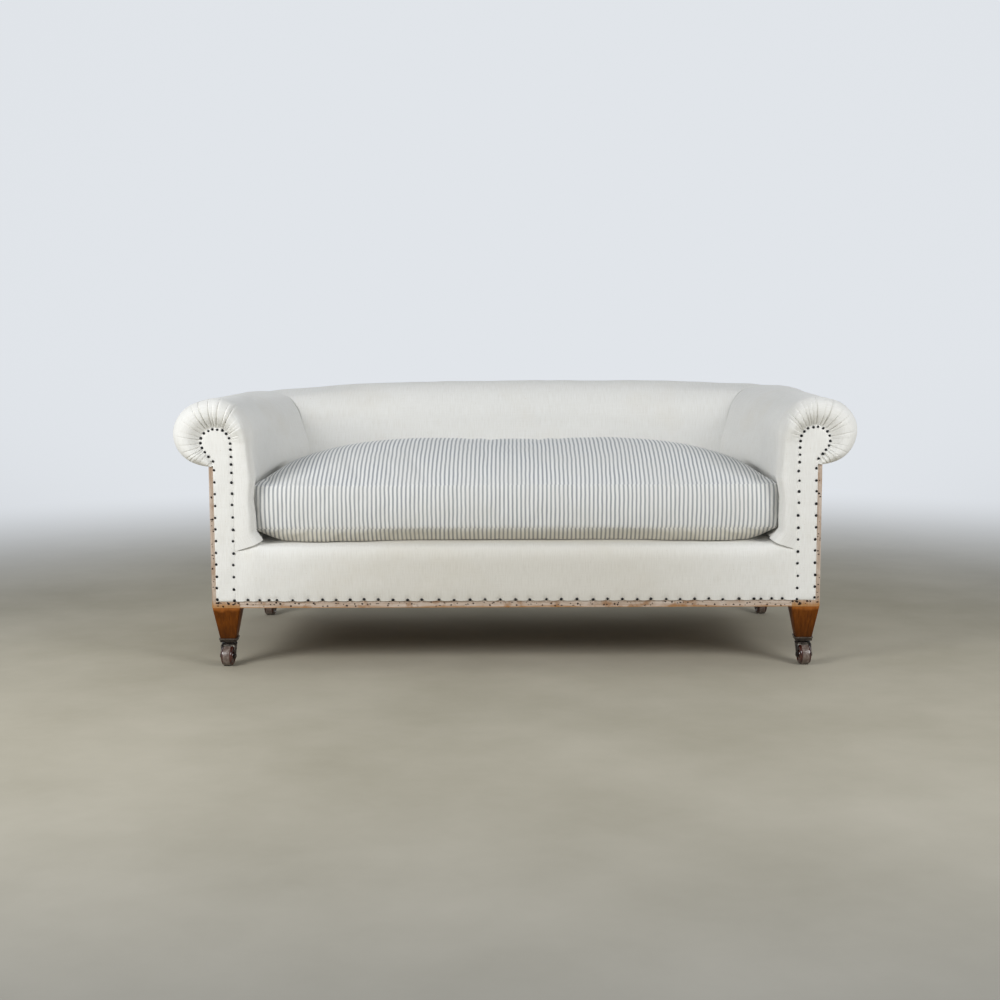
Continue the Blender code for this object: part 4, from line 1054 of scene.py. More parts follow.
# %% back cover
def back_cover(seed):
    length = lengths(line[:, 1:])
    s = np.linspace(0, length[-1], 150)
    arm_u, back_u, z = (np.interp(s, length, line[:, k]) for k in range(3))
    radius = corner_radius((arm_u + back_u) / 2, z)
    bends = 90 - BENDS[::-1]
    across = np.linspace(-1, 1, 150)[1:-1]
    stations = [(-1, turn) for turn in bends] + [(0, v) for v in across] + [(1, turn) for turn in bends[::-1]]

    def section(arm, back, height, bend, rise):
        made = []
        for side, value in stations:
            turn = value if side else 90
            x, y = plan(arm, back, bend, turn)
            x = side * x if side else value * x
            made.append((x, y, height + rise * crown(x, y, height, turn)))
        return np.array(made).transpose(0, 2, 1)

    grid = section(arm_u, back_u, z, radius, 1)
    along = lengths(grid)
    lift = 0.0016 * wander(grid, 0.34, seed) + 0.0005 * wander(grid, 0.08, seed + 1)
    distance = np.full(grid.shape[:2], FAR)
    distance[:len(bends)] = radius * np.radians(bends - 45)[:, None]
    distance[-len(bends):] = distance[:len(bends)][::-1]
    lift -= crease(distance, grid[..., 2])
    grid = swollen(grid, lift, len(grid) // 2, np.argmax(z))

    inner_columns = np.unique(np.linspace(0, len(s) - 1, 22).astype(int))
    inner_rows = list(range(0, len(bends), 4)) + list(range(len(bends), len(stations) - len(bends), 21))
    inner_rows += list(range(len(stations) - len(bends), len(stations), 4)) + [len(stations) - 1]
    stem = np.linspace(0, 1, 8)[:-1]
    degrees = np.linspace(180, HEAD_MEETS, len(inner_columns) - len(stem))
    post_u, post_z = post_line(FOOT_Z + (HEAD_Z - FOOT_Z) * stem, degrees)
    inner = section(post_u, post_u, post_z, CORNER_RADIUS + CORNER_SPREAD * post_u, 0)[inner_rows]
    uv = np.stack([along - along[-1] / 2, np.broadcast_to(s, along.shape)], axis=-1)
    return padded_cover("back_cover", grid, inner, uv, inner[..., ::2], inner_rows, inner_columns)


cover = back_cover(55)
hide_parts("back_pad")
print("faces of the back cover:", len(cover.data.polygons))

# %% [markdown]
# Tack heads are small domes of blued iron. One is modelled from a sphere, cut in half and pressed
# flat, and every row of tacks is one piece that repeats it.

# %% a tack head
TACK_RADIUS, TACK_FLAT = 0.0037, 0.62
tack = start("uv_sphere", segments=9, ring_count=6, radius=TACK_RADIUS)
pick(tack, "VERT", lambda vert: vert.co.z < -1e-5)
bpy.ops.mesh.delete(type="VERT")
bpy.ops.mesh.select_all(action="SELECT")
resize(1, 1, TACK_FLAT, (0, 0, 0))
bpy.ops.object.mode_set(mode="OBJECT")
tack_points = np.array([v.co for v in tack.data.vertices])
tack_faces = [list(face.vertices) for face in tack.data.polygons]
bpy.data.objects.remove(tack)


def tack_row(name, places, normal, seed):
    """A row of tack heads that face along a normal, each a little uneven in size and tilt."""
    draw = np.random.default_rng(seed)
    turn = np.array(Vector(normal).to_track_quat("Z", "Y").to_matrix())
    points, faces = [], []
    for place in places:
        tilt = np.array(Euler((*draw.normal(0, 0.10, 2), draw.uniform(0, 6))).to_matrix())
        shift = np.array([*draw.normal(0, 0.0006, 2), -0.0003])
        faces += [[i + len(points) * len(tack_points) for i in face] for face in tack_faces]
        points.append((tack_points * draw.uniform(0.9, 1.1) @ tilt.T + shift) @ turn.T + place)
    points = np.concatenate(points)
    return sew(name, points, faces, points[:, :2], tack_iron, slot="steel")


print("faces of a tack head:", len(tack_faces))

# %% [markdown]
# The seat is one stuffed piece over the springs. At the front it turns down as a lip over the rail,
# swells, and is folded under and tacked along its hem, which puckers a little at each tack. Its
# ends go under the arm fronts, where the top of the lip falls away.

# %% places of the hem tacks
HEM_TACK_Z = HEM_Z + 0.0036
draw = np.random.default_rng(8)
hem_x = [0.0]
while hem_x[-1] < 0.60:
    hem_x.append(hem_x[-1] + draw.uniform(0.035, 0.043))
hem_x += [0.636, 0.664, 0.692]
hem_x = np.array(sorted([-x + draw.uniform(-0.004, 0.004) for x in hem_x[1:]] + hem_x))
print("hem tacks:", len(hem_x))

# %% the seat and its lip
LIP_BULGE, LIP_EDGE, LIP_END = 0.014, 0.004, 0.7265
LIP_FALL = (0.0291, 0.664, 0.07)     # how far the top falls, from where, and over what length
SEAT_DENT = 0.0145
SEAT_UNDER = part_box("seat_hessian")[1].z + HAIR
PUT_ON = -0.0004                     # the lining, just in front of the rail


def seat_section(x, thin):
    """Points (y, z) round the seat at one place along the front, y from the front of the rail."""
    thick, back = RAIL_BACK - FRONT_Y, SEAT_BACK - FRONT_Y
    top = SEAT_TOP - LIP_FALL[0] * max(0, (abs(x) - LIP_FALL[1]) / LIP_FALL[2])
    bulge = LIP_BULGE * (0.12 + 0.88 * soft_step(LIP_END - abs(x), 0, 0.06))
    edge = LIP_EDGE * (0.35 + 0.65 * soft_step(LIP_END - abs(x), 0, 0.02))
    square = soft_step(abs(x), 0.64, 0.69)
    skin = [(-edge - share * (bulge - edge), height)
            for share, height in ((0, 0), (0.25, 0.12), (0.5, 0.3), (0.8, 0.5))]
    skin += [(share * bulge, height + more * square)
             for share, height, more in ((-1, 0.68, 0), (-0.86, 0.80, 0.08), (-0.25, 0.89, 0.07),
                                         (0.7, 0.92, 0.06), (2.2, 0.93, 0.05))]
    skin = round_off(np.array(skin))
    skin = np.stack([skin[:, 0], HEM_Z + (top - HEM_Z) * skin[:, 1]], axis=1)
    deep = [(thick + (back - thick) * share, SEAT_TOP - drop) for share, drop in
            ((0.016, SEAT_DENT), (0.052, SEAT_DENT), (0.08, 0.7 * SEAT_DENT), (0.105, 0.3 * SEAT_DENT),
             (0.135, 0.0008), (1, 0.0006))]
    under = [(back, SEAT_UNDER), (thick, SEAT_UNDER), (thick, RAIL_TOP + HAIR), (PUT_ON, RAIL_TOP + HAIR)]
    if thin:
        skin[:, 0] = np.minimum(skin[:, 0], -0.0006)
        deep = [(-0.0005, top - 0.001 * k) for k in range(6)]
        under = [(-0.0005, top - 0.01 - 0.01 * k) for k in range(4)]
    lining = [(PUT_ON, HEM_Z + 0.002), (PUT_ON, HEM_Z)]
    return [(x, FRONT_Y + y, z) for y, z in [*skin, *deep, *under, *lining]], len(skin)


def seat_cover(seed):
    end = SIDE_X - POST_WIDTH - HAIR
    flap = SIDE_X + TACK_STEM_U - 0.001
    stations = [(-flap, 1), (-end - 0.002, 1), (-end - 0.0001, 1)]
    stations += [(x, 0) for x in np.linspace(-end, end, 421)]
    stations += [(end + 0.0001, 1), (end + 0.002, 1), (flap, 1)]
    sections = [seat_section(x, thin) for x, thin in stations]
    grid, count = np.array([points for points, _ in sections]), sections[0][1]
    face = grid[:, :count]
    near = np.abs(face[..., 0][..., None] - hem_x).min(axis=-1)
    above = face[..., 2] - HEM_Z
    dimple = bell(near, 0.0065) * bell(face[..., 2] - HEM_TACK_Z, 0.008)
    pucker = bell(near, 0.008) * np.exp(-above / 0.022)
    puff = 0.0010 * wander(face, 0.22, seed) + 0.0004 * wander(face, 0.06, seed + 1)
    puff = puff * soft_step(above, 0, 0.05) * soft_step(-face[..., 1], 0.39, 0.43)
    face[..., 1] += 0.0022 * dimple + 0.0012 * pucker - puff
    face[..., 2] += 0.0016 * bell(near, 0.010) * np.exp(-above / 0.006)
    uv = np.stack([grid[..., 0], lengths(grid, 1)], axis=-1)
    piece = sew("seat_cover", grid, tube_faces(*grid.shape[:2]), uv, seat_calico)
    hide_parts("seat_pad")
    return piece


cover = seat_cover(77)
tack_row("hem_tacks", [(x, FRONT_Y - 0.0042, HEM_TACK_Z) for x in hem_x], (0, -1, 0), 5)
print("faces of the seat cover:", len(cover.data.polygons))

# %% [markdown]
# A facing is a flat keyhole of calico that hides the pleat ends and the post. Its edges are folded
# under, it is tacked all round, and it dips at each tack. Two lines, one up the inner edge and
# one up the outer edge, are joined by rows of points, so that the grid follows the keyhole.

# %% outline and tacks of a facing
FACING_MARGIN = 0.0032
EDGE_RADII = (TACK_RADII[0] + FACING_MARGIN, TACK_RADII[1] + FACING_MARGIN)
INNER_U, OUTER_U, NECK_Z = TACK_STEM_U - FACING_MARGIN, -0.0113, 0.514
OUTSIDE_U = -0.03


def keyhole(inset):
    """Inner and outer edge of the facing as (u, z), moved in by an inset."""
    def rim(first, last):
        turn = np.radians(np.linspace(first, last, 40))
        return np.stack([TACK_CENTRE[0] + (EDGE_RADII[0] - inset) * np.cos(turn),
                         TACK_CENTRE[1] + (EDGE_RADII[1] - inset) * np.sin(turn)], axis=1)

    inner_u, outer_u = INNER_U + inset, OUTER_U - inset
    stem = [np.linspace((u, HEM_Z + inset), (u, NECK_Z), 130) for u in (inner_u, outer_u)]
    inner = resample(np.concatenate([[(inner_u, NECK_Z)], rim(180, 91)]), 80)
    neck = round_off(np.array([(outer_u, NECK_Z), (outer_u, 0.530), (outer_u + 0.004, 0.5405 + inset),
                               (outer_u + 0.013, 0.5478 + inset), tuple(rim(-50, -49)[0])]))
    outer = resample(np.concatenate([neck, rim(-48, 89)]), 80)
    return [np.concatenate([a, b[1:]]) for a, b in zip(stem, (inner, outer))]


def facing_tacks():
    """Places of the tacks along the edge: close together round the head, wider down the stem."""
    inner, outer = keyhole(FACING_MARGIN)
    path = resample(np.concatenate([outer, inner[::-1]]), 3000)
    steps = lengths(path)
    draw = np.random.default_rng(3)
    places, next_at = [], 0.002
    for (u, z), here in zip(path, steps):
        if here >= next_at:
            places.append((u, z))
            pitch = np.interp(z, [0.50, 0.55] if u > OUTSIDE_U else [0.46, 0.61], [0.031, 0.0128])
            next_at = here + pitch * draw.uniform(0.93, 1.07)
    if steps[-1] - steps[np.argmin(np.hypot(*(path - places[-1]).T))] > 0.012:
        places.append(tuple(path[-1]))
    return np.array(places)


tacks = facing_tacks()
print("tacks on a facing:", len(tacks))

# %% facings
FACING_SIZE, FACING_SHARE, FACING_THICK = (0.105, 0.465), 0.31, 0.0013


def facing(name, side, seed):
    inner, outer = keyhole(0)
    share = (1 - np.cos(np.linspace(0, math.pi, 34))) / 2
    flat = inner[:, None] + (outer - inner)[:, None] * share[None, :, None]
    width = np.linalg.norm(outer - inner, axis=1)[:, None]
    edge = np.minimum(share, 1 - share)[None] * width
    edge = np.minimum(edge, np.minimum(flat[..., 1] - HEM_Z,
                                       0.01 + EDGE_RADII[1] + TACK_CENTRE[1] - flat[..., 1]))
    apart = ((flat[:, :, None] - tacks) ** 2).sum(axis=-1)
    near = np.sqrt(apart).min(axis=-1)
    place = np.concatenate([flat, 0 * flat[..., :1]], axis=-1)
    front = 0.0014 + 0.0018 * (1 - np.exp(-edge / 0.0016)) - 0.0011 * bell(near, 0.0045)
    front += soft_step(edge, 0.004, 0.016) * (0.0004 + 0.0006 * wander(place, 0.09, seed))
    front -= 0.0006 * bell(near, 0.006) * bell(edge, 0.010)
    points = np.concatenate([np.stack([side * (SIDE_X + flat[..., 0]), FRONT_Y - depth, flat[..., 1]], axis=-1)
                             for depth in (front, front - FACING_THICK)])
    uv = np.concatenate([flat, flat])
    piece = sew("arm_facing_cloth_" + name, points, sheet_faces(*flat.shape[:2]), uv, calico)
    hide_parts("arm_facing_" + name)
    cloth = float((np.linalg.norm(np.diff(flat, axis=1), axis=-1)[:-1].sum(axis=1)
                   * np.linalg.norm(np.diff(flat.mean(axis=1), axis=0), axis=1)).sum())
    nearest = apart.reshape(-1, len(tacks)).argmin(axis=0)
    at_neck = (tacks[:, 0] > OUTSIDE_U) & (np.abs(tacks[:, 1] - 0.542) < 0.014)
    depths = front.ravel()[nearest] + np.where(at_neck, 0.0030, 0.0014)
    spots = [(side * (SIDE_X + u), FRONT_Y - depth, z) for (u, z), depth in zip(tacks, depths)]
    tack_row("facing_tacks_" + name, spots, (0, -1, 0), seed)
    return cloth


for name, side in SIDES:
    cloth = facing(name, side, 11 if side < 0 else 12)
print("cloth of a facing, m2:", round(cloth, 4))

# %% [markdown]
# Old tack holes pepper the bare strip under the hem and the outer edge of the posts, where earlier
# covers were fixed. Each is a small ragged spot of painted shade that lies just on the wood. Those
# above the legs are larger.

# %% old tack holes
HOLE_SIDES, LARGE_HOLE = 7, 1.4


def tack_holes(name, places, sizes, seed):
    draw = np.random.default_rng(seed)
    points, faces = [], []
    for (x, z), size in zip(places, sizes):
        turn = np.linspace(0, 2 * math.pi, HOLE_SIDES, endpoint=False) + draw.uniform(0, 1)
        reach = size * draw.uniform(0.0011, 0.0030) * draw.uniform(0.6, 1.3, HOLE_SIDES)
        squeeze = draw.uniform(0.55, 1)
        first = len(points)
        points += [(x + r * math.cos(a), FRONT_Y - 0.00025, z + squeeze * r * math.sin(a))
                   for r, a in zip(reach, turn)]
        points.append((x, FRONT_Y - 0.0005, z))
        faces += [(first + i, first + (i + 1) % HOLE_SIDES, first + HOLE_SIDES) for i in range(HOLE_SIDES)]
    points = np.array(points)
    return sew(name, points, faces, points[:, ::2], hole_shade, slot="beech")


draw = np.random.default_rng(19)
strip = HEM_Z - RAIL_Z
holes = [(x + draw.normal(0, 0.006), RAIL_Z + strip * draw.uniform(0.2, 0.8))
         for x in np.arange(-0.775, 0.776, 0.0125)]
holes += [(side * (SIDE_X - draw.uniform(0.002, 0.008)), draw.uniform(HEM_Z, 0.5))
          for side in (-1, 1) for _ in range(16)]
holes += [(side * draw.uniform(0.722, 0.784), RAIL_Z + strip * draw.uniform(0.2, 0.85))
          for side in (-1, 1) for _ in range(7)]
sizes = [LARGE_HOLE if abs(x) > 0.715 and z < HEM_Z else 1 for x, z in holes]
tack_holes("old_tack_holes", holes, sizes, 4)
print("old tack holes:", len(holes))

# %% [markdown]
# Flat calico closes the outside of the arms and the back. Each panel is fixed under the roll and
# tacked along its other edges, with a little slack that shows as shallow hollows at the tacks. Its
# top goes further up at the rear corners of the sofa, where the roll turns.

# %% outside panels
PANEL_SETBACK, PANEL_THICK, TACK_PITCH = 0.012, 0.0009, 0.037
TUCKED_UP, TUCKED_CORNER = 0.004, 0.007


def outside_panel(name, origin, right, size, normal, corners, seed):
    """A thin stretched sheet: origin is its lower corner, right the way its width runs."""
    wide, high = size
    u, v = np.meshgrid(np.linspace(0, wide, 150), np.linspace(0, high, 60))
    for corner in corners:
        v = v * (1 + TUCKED_CORNER / high * np.clip(1 - np.abs(u - corner) / 0.08, 0, 1) ** 2)
    flat = np.stack([u, v, 0 * u], axis=-1)
    steps = np.arange(0.018, wide, TACK_PITCH)
    rise = np.arange(0.010, high - 0.03, TACK_PITCH)[1:]
    tacks = np.array([(a, 0.007) for a in steps] + [(a, b) for a in (0.008, wide - 0.008) for b in rise])
    near = np.sqrt(((flat[:, :, None, :2] - tacks) ** 2).sum(axis=-1)).min(axis=-1)
    edge = np.minimum(np.minimum(u, wide - u), v)
    depth = 0.0010 + 0.0012 * (1 - np.exp(-edge / 0.002)) - 0.0008 * bell(near, 0.006)
    depth += soft_step(edge, 0.01, 0.06) * soft_step(high - v, 0, 0.05) * 0.0009 * wander(flat, 0.3, seed)
    right, normal = np.array(right, float), np.array(normal, float)
    base = np.array(origin) + u[..., None] * right + v[..., None] * np.array([0, 0, 1.0])
    points = np.concatenate([base + normal * (depth - thin)[..., None] for thin in (0, PANEL_THICK)])
    uv = np.concatenate([flat[..., :2]] * 2)
    piece = sew(name + "_cloth", points, sheet_faces(*u.shape), uv, calico)
    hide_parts(name)
    spots = [np.array(origin) + a * right + np.array([0, 0, b]) + normal * 0.0011 for a, b in tacks]
    tack_row(name + "_tacks", spots, normal, seed)
    return piece


low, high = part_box("outside_back_panel")
size = (high.x - low.x, high.z - low.z + TUCKED_UP)
panel = outside_panel("outside_back_panel", (high.x, BACK_Y, low.z), (-1, 0, 0), size, (0, 1, 0),
                      (0, size[0]), 61)
for name, side in SIDES:
    low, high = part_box("outside_arm_panel_" + name)
    size = (high.y - low.y - PANEL_SETBACK, high.z - low.z + TUCKED_UP)
    panel = outside_panel("outside_arm_panel_" + name, (side * SIDE_X, low.y + PANEL_SETBACK, low.z),
                          (0, 1, 0), size, (side, 0, 0), (size[0],), 62 + side)
print("outside panels: 3")

# %% [markdown]
# Under the seat, straps of jute go over and under each other from rail to rail and carry the
# springs. Each strap is a ribbon whose height changes sign at every crossing.

# %% webbing
STRAP_WIDTH, STRAP_THICK, STRAP_WEAVE = 0.052, 0.0014, 0.0009
limit = SIDE_X - POST_WIDTH
rail_depth = RAIL_BACK - FRONT_Y


def spread(count, low, high):
    return low + (high - low) * (np.arange(count) + 0.5) / count


strap_x = spread(11, -limit, limit)
strap_y = spread(5, FRONT_Y + rail_depth, BACK_Y - rail_depth)


def webbing():
    web_low, web_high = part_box("seat_webbing")
    level = RAIL_Z - 0.0004 - STRAP_THICK - STRAP_WEAVE
    points, faces, uv, total = [], [], [], 0
    for lines, crossings, axis in ((strap_x, strap_y, 1), (strap_y, strap_x, 0)):
        low, high = web_low[axis], web_high[axis]
        along = np.linspace(low, high, 150)
        knots = np.concatenate([[low], crossings, [high]])
        total += len(lines) * (high - low)
        for i, middle in enumerate(lines):
            signs = [(1 if (i + j) % 2 else -1) * (1 if axis else -1) for j in range(len(crossings))]
            wave = np.interp(along, knots, [0.8, *signs, 0.8])
            height = level + STRAP_WEAVE * np.sin(wave * math.pi / 2)
            ring = []
            for side, thick in ((-1, 0), (1, 0), (1, STRAP_THICK), (-1, STRAP_THICK)):
                across = np.full(len(along), middle + side * STRAP_WIDTH / 2)
                place = (across, along) if axis else (along, across)
                ring.append(np.stack([*place, height + thick], axis=1))
            faces += tube_faces(len(along), 4, len(points) * len(along) * 4)
            points.append(np.stack(ring, axis=1).reshape(-1, 3))
            edges = np.tile([0, STRAP_WIDTH, STRAP_WIDTH, 0], len(along))
            uv.append(np.stack([edges, np.repeat(along, 4)], axis=1))
    piece = sew("webbing_straps", np.concatenate(points), faces, np.concatenate(uv), webbing_jute, slot="jute")
    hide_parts("seat_webbing")
    return total


strap_total = webbing()
ends = [(x + d, y, RAIL_Z - 0.0017) for x in strap_x for d in (-0.018, 0, 0.018)
        for y in (FRONT_Y + rail_depth / 2, BACK_Y - rail_depth / 2)]
tack_row("webbing_tacks", ends, (0, 0, -1), 9)
print("webbing, m:", round(float(strap_total), 2))

# %% [markdown]
# Twelve double-cone springs stand on the straps. Each is one wire: the end turns lie flat, and the
# coils draw in to a waist. Over them lies the hessian, a little uneven in slow waves.

# %% springs
SPRING_RADIUS, SPRING_WAIST, SPRING_WIRE, SPRING_CURLS = 0.046, 0.030, 0.0018, 4
CURL_POINTS, WIRE_SIDES = 28, 8
hessian_low, hessian_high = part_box("seat_hessian")
spring_low, spring_high = RAIL_Z + SPRING_WIRE, hessian_low.z - HAIR - SPRING_WIRE
t = np.linspace(0, 1, SPRING_CURLS * CURL_POINTS + 1)
turn = 2 * math.pi * SPRING_CURLS * t
radius = SPRING_WAIST + (SPRING_RADIUS - SPRING_WAIST) * (2 * t - 1) ** 2
rise = spring_low + (spring_high - spring_low) * (0.75 * soft_step(t, 0.1, 0.9) + 0.25 * t)
path = np.stack([radius * np.cos(turn), radius * np.sin(turn), rise], axis=1)
forward = np.gradient(path, axis=0)
forward /= np.linalg.norm(forward, axis=1, keepdims=True)
side_way = np.cross(forward, [0, 0, 1.0])
side_way /= np.linalg.norm(side_way, axis=1, keepdims=True)
up_way = np.cross(side_way, forward)
ring_turn = np.linspace(0, 2 * math.pi, WIRE_SIDES, endpoint=False)
wire = path[:, None] + SPRING_WIRE * (np.cos(ring_turn)[:, None] * side_way[:, None]
                                      + np.sin(ring_turn)[:, None] * up_way[:, None])
wire_faces = tube_faces(len(path), WIRE_SIDES)
number = 0
for y in strap_y[1::2]:
    for x in strap_x[::2]:
        number += 1
        coil = sew("coil_spring_%02d" % number, wire + [x, y, 0], wire_faces, wire[..., :2], spring_steel,
                   slot="steel")
        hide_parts("seat_spring_%02d" % number)
print("springs:", number)

# %% hessian
HESSIAN_THICK = 0.0009
u, v = np.meshgrid(np.linspace(hessian_low.x, hessian_high.x, 120),
                   np.linspace(hessian_low.y, hessian_high.y, 60))
flat = np.stack([u, v, 0 * u], axis=-1)
height = hessian_low.z + 0.0002 + 0.0004 * wander(flat, 0.12, 71)
layers = np.concatenate([np.stack([u, v, height + thick], axis=-1) for thick in (0, HESSIAN_THICK)])
hessian = sew("hessian_cloth", layers, sheet_faces(*u.shape), np.concatenate([flat[..., :2] + 1] * 2),
              hessian_jute, slot="jute")
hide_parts("seat_hessian")
print("hessian faces:", len(hessian.data.polygons))

# %% [markdown]
# The loose cushion is a feather box: a top and a bottom panel and a boxing strip between two
# seams. Each panel is a patch stretched between the four sides of its outline, so its stripes run
# straight from front to back. The panels start a little small and are blown up by cloth simulation
# with the seams held, and then the seams are drawn in as grooves.

# %% outline of the cushion
cushion_low, cushion_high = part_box("seat_cushion")
CUSHION_SWELL, CUSHION_UNDER, BOXING, CUSHION_CROWN = 0.012, 0.0255, 0.1135, 0.103
CUSHION_HALF = cushion_high.x - CUSHION_SWELL
CUSHION_FRONT, CUSHION_BACK = cushion_low.y + 0.6 * CUSHION_SWELL, cushion_high.y - 0.6 * CUSHION_SWELL
FRONT_CORNER, REAR_CORNER = 0.022, 0.225
CUSHION_LEAN, FRONT_SAG, SIDE_DRAW = 0.024, 0.013, 0.006


def edge_spacing(count):
    """Steps from 0 to 1, even but for narrow ones at each end, where the seams and corners are."""
    ends = np.array([0, 0.003, 0.008, 0.014])
    return np.concatenate([ends, np.linspace(0.0215, 0.9785, count - 2 * len(ends)), 1 - ends[::-1]])


def lean(flat):
    """How far the ends of the cushion push out into the arms."""
    x = flat[..., :1]
    return CUSHION_LEAN * np.sign(x) * soft_step(np.abs(x), 0.52, CUSHION_HALF - 0.005) * [1, 0]


def outline_sides(across, deep):
    """The four sides of the cushion in plan, each from corner middle to corner middle."""
    def corner(sx, sy, first, last):
        radius = REAR_CORNER if sy > 0 else FRONT_CORNER
        centre = np.array([sx * (CUSHION_HALF - radius),
                           (CUSHION_BACK - radius) if sy > 0 else (CUSHION_FRONT + radius)])
        turn = np.radians(np.linspace(first, last, 24))
        return centre + radius * np.stack([np.cos(turn), np.sin(turn)], axis=1)

    def side(first, second, share, way):
        path = np.concatenate([corner(*first), corner(*second)])
        return points_at(path, share) + SIDE_DRAW * np.sin(math.pi * share)[:, None] ** 2 * np.array(way)

    return (side((-1, -1, 225, 270), (1, -1, 270, 315), across, (0, 1)),
            side((-1, 1, 135, 90), (1, 1, 90, 45), across, (0, -1)),
            side((-1, -1, 225, 180), (-1, 1, 180, 135), deep, (1, 0)),
            side((1, -1, 315, 360), (1, 1, 0, 45), deep, (-1, 0)))


print("cushion seam outline, m:", [round(v, 3) for v in (2 * CUSHION_HALF, CUSHION_BACK - CUSHION_FRONT)])

# %% panels and boxing
SEAM_LOW, SEAM_HIGH = cushion_low.z + CUSHION_UNDER, cushion_low.z + CUSHION_UNDER + BOXING
SEAM_SHIFT = 0.0006
BOX_ROWS = np.array([0, 0.03, 0.12, 0.22, 0.33, 0.44, 0.55, 0.66, 0.77, 0.87, 0.97, 1])


def cushion_panels():
    """The flat patch that both panels are cut from, and the heights of the top and the bottom."""
    across, deep = edge_spacing(138), edge_spacing(58)
    front, rear, left, right = outline_sides(across, deep)
    s, t = across[:, None, None], deep[None, :, None]
    flat = (1 - t) * front[:, None] + t * rear[:, None] + (1 - s) * left[None] + s * right[None]
    flat -= (1 - s) * (1 - t) * front[0] + s * (1 - t) * front[-1] + (1 - s) * t * rear[0] + s * t * rear[-1]
    flat += lean(flat)
    a, b = np.abs(2 * s[..., 0] - 1), np.abs(2 * t[..., 0] - 1)
    top_z = SEAM_HIGH + CUSHION_CROWN * (1 - a ** 4.5) * (1 - b ** 2.5)
    drop = np.minimum(1, 1.5 * (1 - a ** 9) * (1 - b ** 15))
    bottom_z = SEAM_LOW - (CUSHION_UNDER + FRONT_SAG * (1 - soft_step(t[..., 0], 0.06, 0.16))) * drop
    return flat, top_z, bottom_z


def cushion_mesh():
    flat, top_z, bottom_z = cushion_panels()
    panels = [np.concatenate([flat, z[..., None]], axis=-1).reshape(-1, 3) for z in (top_z, bottom_z)]
    loop = np.concatenate([flat[:, 0], flat[-1, 1:], flat[-2::-1, -1], flat[0, -2:0:-1]])
    way = np.roll(loop, -1, axis=0) - np.roll(loop, 1, axis=0)
    out = np.stack([way[:, 1], -way[:, 0]], axis=1) / np.linalg.norm(way, axis=1, keepdims=True)
    around = lengths(loop)
    closing = around[-1] + np.linalg.norm(loop[0] - loop[-1])
    swell = CUSHION_SWELL * np.interp(BOX_ROWS, [0, 0.12, 0.3, 0.55, 0.8, 1], [0, 0.5, 0.85, 1, 0.75, 0])
    loop, out = np.concatenate([loop, loop[:1]]), np.concatenate([out, out[:1]])
    box = np.stack([np.concatenate([loop + out * w * [0.35, 0.6],
                                    np.full((len(loop), 1), SEAM_LOW + BOXING * h)], axis=1)
                    for h, w in zip(BOX_ROWS, swell)])
    middle = np.interp(0, flat[:, 0, 0], around[:len(flat)])
    box_uv = np.stack(np.broadcast_arrays(np.concatenate([around, [closing]])[None] - middle + SEAM_SHIFT,
                                          (BOXING * BOX_ROWS)[:, None]), axis=-1)
    rows, columns = flat.shape[:2]
    faces = quads(rows, columns) + quads(rows, columns, rows * columns)
    faces += quads(len(BOX_ROWS), len(loop), 2 * rows * columns)
    flat = flat.reshape(-1, 2)
    return (np.concatenate([*panels, box.reshape(-1, 3)]), faces,
            np.concatenate([flat, flat + [0.002, 0], box_uv.reshape(-1, 2)]))


cushion = sew("feather_cushion", *cushion_mesh(), ticking, "cushion", "ticking", merge=1e-5)
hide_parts("seat_cushion")
print("cushion faces before filling:", len(cushion.data.polygons))

# %% [markdown]
# The filling: pressure inside the cloth for twenty frames, with no gravity and the seam line
# pinned. The cloth is cut a little full, so it buckles slightly beside the seams. No point may move
# more than the cap, and the underside stays flat on the seat.

# %% cloth simulation of the cushion
PRESSURE, FILL_FRAMES, MOVE_CAP = 4.0, 20, 0.024


def positions(piece):
    found = np.empty(len(piece.data.vertices) * 3, dtype=np.float32)
    piece.data.vertices.foreach_get("co", found)
    return found.reshape(-1, 3).astype(float)


def put(piece, place):
    piece.data.vertices.foreach_set("co", np.asarray(place, np.float32).ravel())
    piece.data.update()


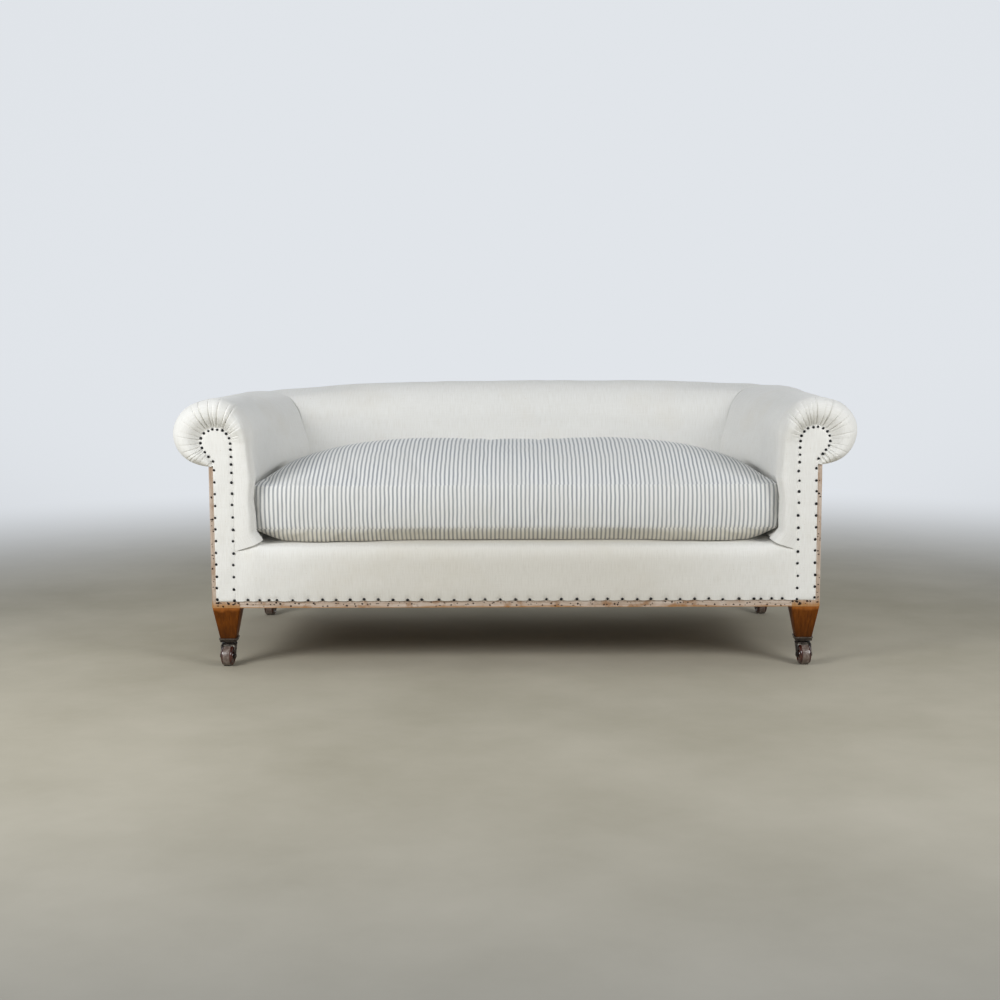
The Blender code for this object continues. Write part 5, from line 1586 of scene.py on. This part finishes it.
at_rest = positions(cushion)
on_seam = np.minimum(np.abs(at_rest[:, 2] - SEAM_LOW), np.abs(at_rest[:, 2] - SEAM_HIGH)) < 1e-5
group = cushion.vertex_groups.new(name="seams")
group.add([int(i) for i in np.nonzero(on_seam)[0]], 1.0, "REPLACE")
filling = cushion.modifiers.new("feather_filling", "CLOTH")
cloth = filling.settings
cloth.quality = 6
cloth.mass = 0.25
cloth.tension_stiffness = cloth.compression_stiffness = 12
cloth.shear_stiffness = 4
cloth.bending_stiffness = 0.4
cloth.shrink_min = -0.012
cloth.use_pressure = True
cloth.uniform_pressure_force = PRESSURE
cloth.effector_weights.gravity = 0
cloth.vertex_group_mass = "seams"
filling.collision_settings.use_collision = False
for step in range(1, FILL_FRAMES + 1):
    bpy.context.scene.frame_set(step)
select_only(cushion)
bpy.ops.object.modifier_apply(modifier="feather_filling")
bpy.context.scene.frame_set(1)
move = positions(cushion) - at_rest
far = np.linalg.norm(move, axis=1, keepdims=True)
print("cushion swelled, mm: most", round(1000 * float(far.max()), 1),
      "mean", round(1000 * float(far.mean()), 1))
put(cushion, at_rest + move * np.minimum(1, MOVE_CAP / np.maximum(far, 1e-9)))

# %% seams and finish of the cushion
CREST_Z, SEAM_GROOVE = 0.5725, 0.0015
place = positions(cushion)
over = place[:, 2] > SEAM_HIGH
place[over, 2] = (SEAM_HIGH + (place[over, 2] - SEAM_HIGH) * (CREST_Z - SEAM_HIGH)
                  / (place[:, 2].max() - SEAM_HIGH))
seat_level = cushion_low.z - FRONT_SAG * (1 - soft_step(place[:, 1], CUSHION_FRONT + 0.035,
                                                        CUSHION_FRONT + 0.09))
place[:, 2] = np.maximum(place[:, 2], seat_level)
outwards = place[:, :2] - [0, (CUSHION_FRONT + CUSHION_BACK) / 2]
outwards /= np.maximum(np.linalg.norm(outwards, axis=1, keepdims=True), 1e-9)
place[on_seam, :2] -= SEAM_GROOVE * outwards[on_seam]
put(cushion, place)
smooth = cushion.modifiers.new("smooth", "SUBSURF")
smooth.levels = smooth.render_levels = 1
select_only(cushion)
bpy.ops.object.modifier_apply(modifier="smooth")
shade(cushion, 80)
print("cushion crest, m:", round(float(positions(cushion)[:, 2].max()), 4))
